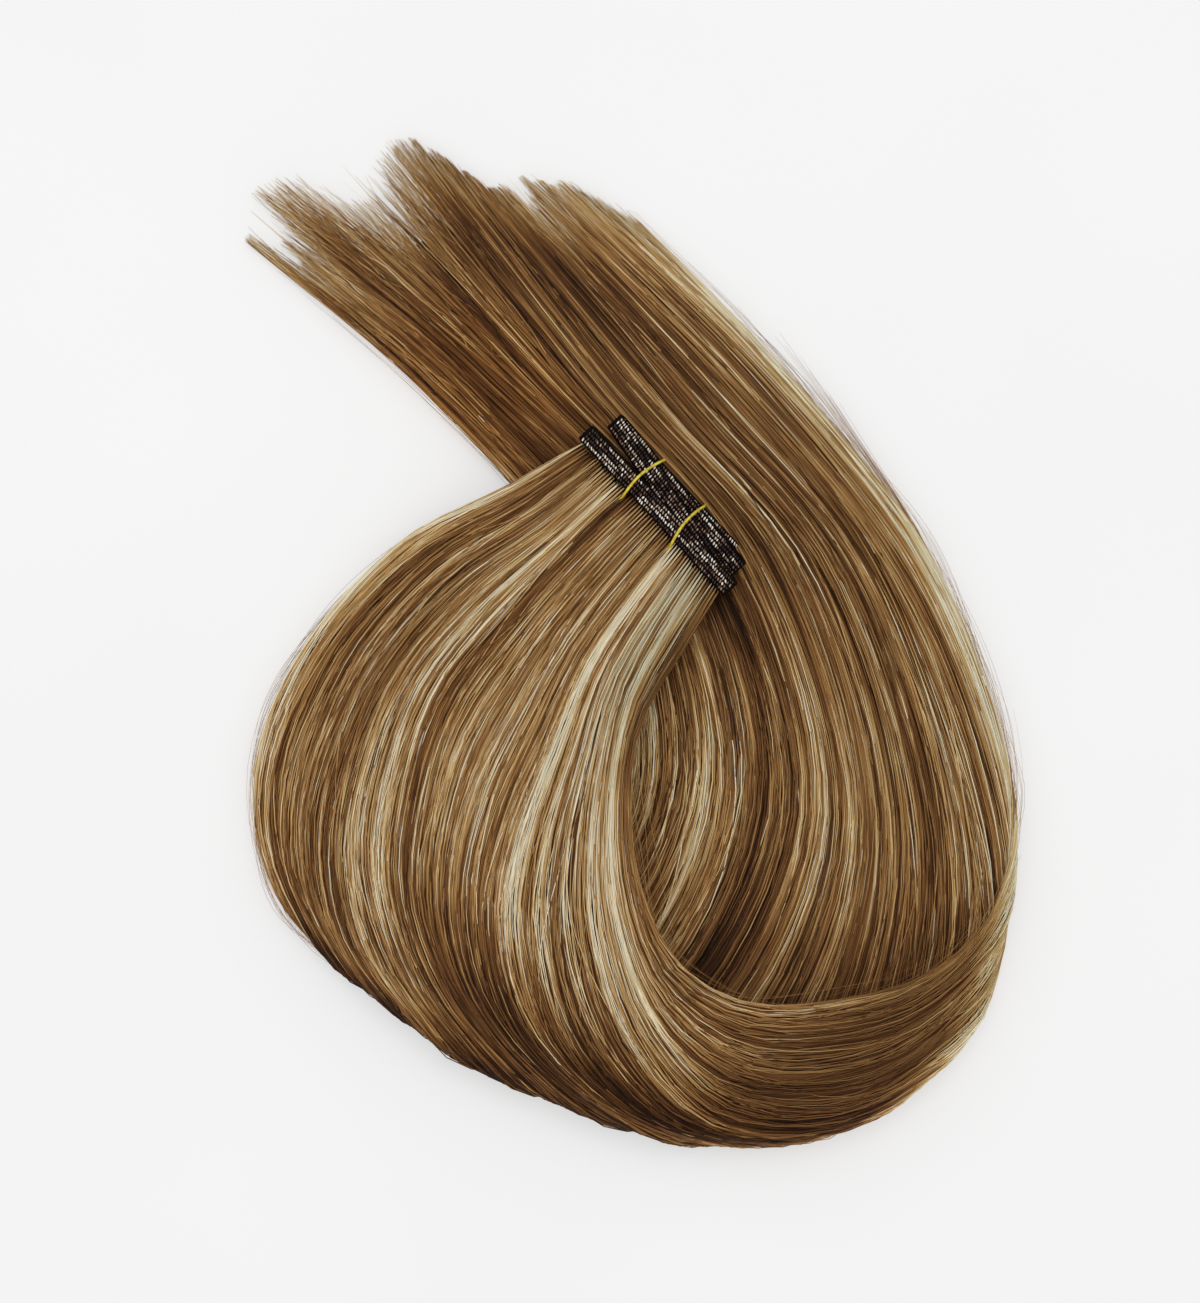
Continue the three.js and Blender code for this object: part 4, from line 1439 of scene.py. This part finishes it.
class WEFT_OT_track(bpy.types.Operator):
    """Folded sewn track with its rows of thread and the hair caught between them"""

    bl_idname = "weft.track"
    bl_label = "Sew the track"

    def execute(self, context):
        settings = context.scene.weft_track
        thread = material_of(dark_sewing_thread, settings)
        strip = link_object("weft_track", loft_mesh("weft_track", track_rings()))
        strip.data.materials.append(thread)
        settle(strip, "track", "weft_strip")

        rng = np.random.default_rng(STITCH_SEED)
        knots, bars = [], []
        for i in range(len(PASSES)):
            more_knots, more_bars = sew_pass(rng, i, settings.stitch_pitch / MM)
            knots += more_knots
            bars += more_bars
        top = len(PASSES) - 1
        top_end, next_end = PASSES[top][2], PASSES[top - 1][2]
        knots.append(sew_teeth(rng, top, PASSES[top][0], top_end))
        knots.append(sew_teeth(rng, top - 1, top_end, next_end))
        for name, rows, material in (
            ("weft_thread_stitches", knots, thread),
            ("weft_root_bars", bars, material_of(stitched_root_hair, settings)),
        ):
            spots, turn, size, tone = (np.concatenate(column) for column in zip(*rows))
            level = np.zeros_like(turn)
            mesh = bpy.data.meshes.new(name)
            mesh.from_pydata((spots * MM).tolist(), [], [])
            put_values(mesh, "turn", np.stack([level, level, turn], -1), "FLOAT_VECTOR", "vector")
            put_values(mesh, "size", size, "FLOAT_VECTOR", "vector")
            put_values(mesh, "map_v", tone)
            obj = grow(name, mesh, stitches_on_points, {"Stitch size": MM, "Material": material})
            places = np.zeros(len(obj.data.vertices) * 3, np.float32)
            obj.data.vertices.foreach_get("co", places)
            put_values(obj.data, "map_u", (places[::3] * STITCH_MAP_REPEATS) % 1)
            bake_map(obj.data, STITCH_SIDES)
            settle(obj, "track")
        return {"FINISHED"}


# The ties.


def left_turn(a, b, c):
    """Whether the way from a over b to c turns left."""
    return (b[0] - a[0]) * (c[1] - a[1]) - (b[1] - a[1]) * (c[0] - a[0]) > 0


def tie_loop(at):
    """Closed line (side, height) drawn tight round the passes at a place and the hair beside them."""
    held = list(TIE_HAIR)
    for i, (left, _, right, _) in enumerate(PASSES):
        if left < at < right:
            held += [
                (pass_side(i, at) + x * TRACK_WIDTH / 2, pass_height(i) + z * TRACK_THICK / 2)
                for x in (-1, 1) for z in (-1, 1)]
    turn = np.linspace(0, 2 * math.pi, TIE_ROUNDING, endpoint=False)
    rim = TIE_CLEAR * np.stack([np.cos(turn), np.sin(turn)], -1)
    spots = sorted(map(tuple, (np.array(held)[:, None] + rim).reshape(-1, 2)))
    loop = []
    for order in (spots, spots[::-1]):
        chain = []
        for spot in order:
            while len(chain) > 1 and not left_turn(chain[-2], chain[-1], spot):
                chain.pop()
            chain.append(spot)
        loop += chain[:-1]
    return np.array(loop + loop[:1])


class WEFT_OT_ties(bpy.types.Operator):
    """Two thin elastic ties round the folded track"""

    bl_idname = "weft.ties"
    bl_label = "Put on the ties"

    def execute(self, context):
        settings = context.scene.weft_ties
        material = material_of(golden_elastic_cord, settings)
        for name, at, lean in TIES:
            loop = tie_loop(at)
            run = line_run(loop)
            place = np.linspace(0, run[-1], TIE_STEPS, endpoint=False)
            side, height = (np.interp(place, run, column) for column in loop.T)
            share = (side - side.min()) / (side.max() - side.min())
            bow = TIE_BOW * np.sin(math.pi * np.minimum(share / TIE_BOW_SHARE, 1)) * TIE_BOW_HEIGHT(height)
            points = weft_point(at + lean * side - bow, side, height) - PLAN_CENTRE
            rib = 1 + TIE_RIB_SHARE * np.cos(2 * math.pi * place / TIE_RIB_PITCH)
            piece = "tie_band_" + name
            mesh = line_mesh(
                piece, points[None], closed=True, thickness=settings.tie_width / 2 * rib,
                map_u=place / run[-1], map_v=np.full(TIE_STEPS, TIE_TONE))
            obj = grow(piece, mesh, strands_along_lines, {"Sides": TIE_SIDES, "Material": material})
            bake_map(obj.data, TIE_SIDES)
            settle(obj, "tie", "tie_" + name)
        return {"FINISHED"}


# The add-on.


class WEFT_PT_panel(bpy.types.Panel):
    """Sizes, colours and steps of the hair weft"""

    bl_label = "Hair Weft"
    bl_idname = "WEFT_PT_panel"
    bl_space_type = "VIEW_3D"
    bl_region_type = "UI"
    bl_category = "Hair Weft"

    def draw(self, context):
        scene = context.scene
        for operators, group in (
            ((WEFT_OT_bodies, WEFT_OT_fan, WEFT_OT_tail, WEFT_OT_strays), scene.weft_hair),
            ((WEFT_OT_track,), scene.weft_track),
            ((WEFT_OT_ties,), scene.weft_ties),
            ((WEFT_OT_stage,), scene.weft_stage),
        ):
            box = self.layout.box()
            for key in group.bl_rna.properties.keys():
                if key not in {"rna_type", "name"}:
                    box.prop(group, key)
            for operator in operators:
                box.operator(operator.bl_idname)


SETTINGS = (
    ("weft_hair", HairSettings),
    ("weft_track", TrackSettings),
    ("weft_ties", TieSettings),
    ("weft_stage", StageSettings),
)
OPERATORS = (
    WEFT_OT_stage,
    WEFT_OT_bodies,
    WEFT_OT_fan,
    WEFT_OT_tail,
    WEFT_OT_strays,
    WEFT_OT_track,
    WEFT_OT_ties,
)


def register():
    for key, group in SETTINGS:
        bpy.utils.register_class(group)
        setattr(bpy.types.Scene, key, bpy.props.PointerProperty(type=group))
    for operator in OPERATORS:
        bpy.utils.register_class(operator)
    bpy.utils.register_class(WEFT_PT_panel)


def unregister():
    bpy.utils.unregister_class(WEFT_PT_panel)
    for operator in reversed(OPERATORS):
        bpy.utils.unregister_class(operator)
    for key, group in reversed(SETTINGS):
        delattr(bpy.types.Scene, key)
        bpy.utils.unregister_class(group)


def main():
    register()
    bpy.ops.weft.stage()
    bpy.ops.weft.bodies()
    bpy.ops.weft.fan()
    bpy.ops.weft.tail()
    bpy.ops.weft.strays()
    bpy.ops.weft.track()
    bpy.ops.weft.ties()


if __name__ == "__main__":
    main()
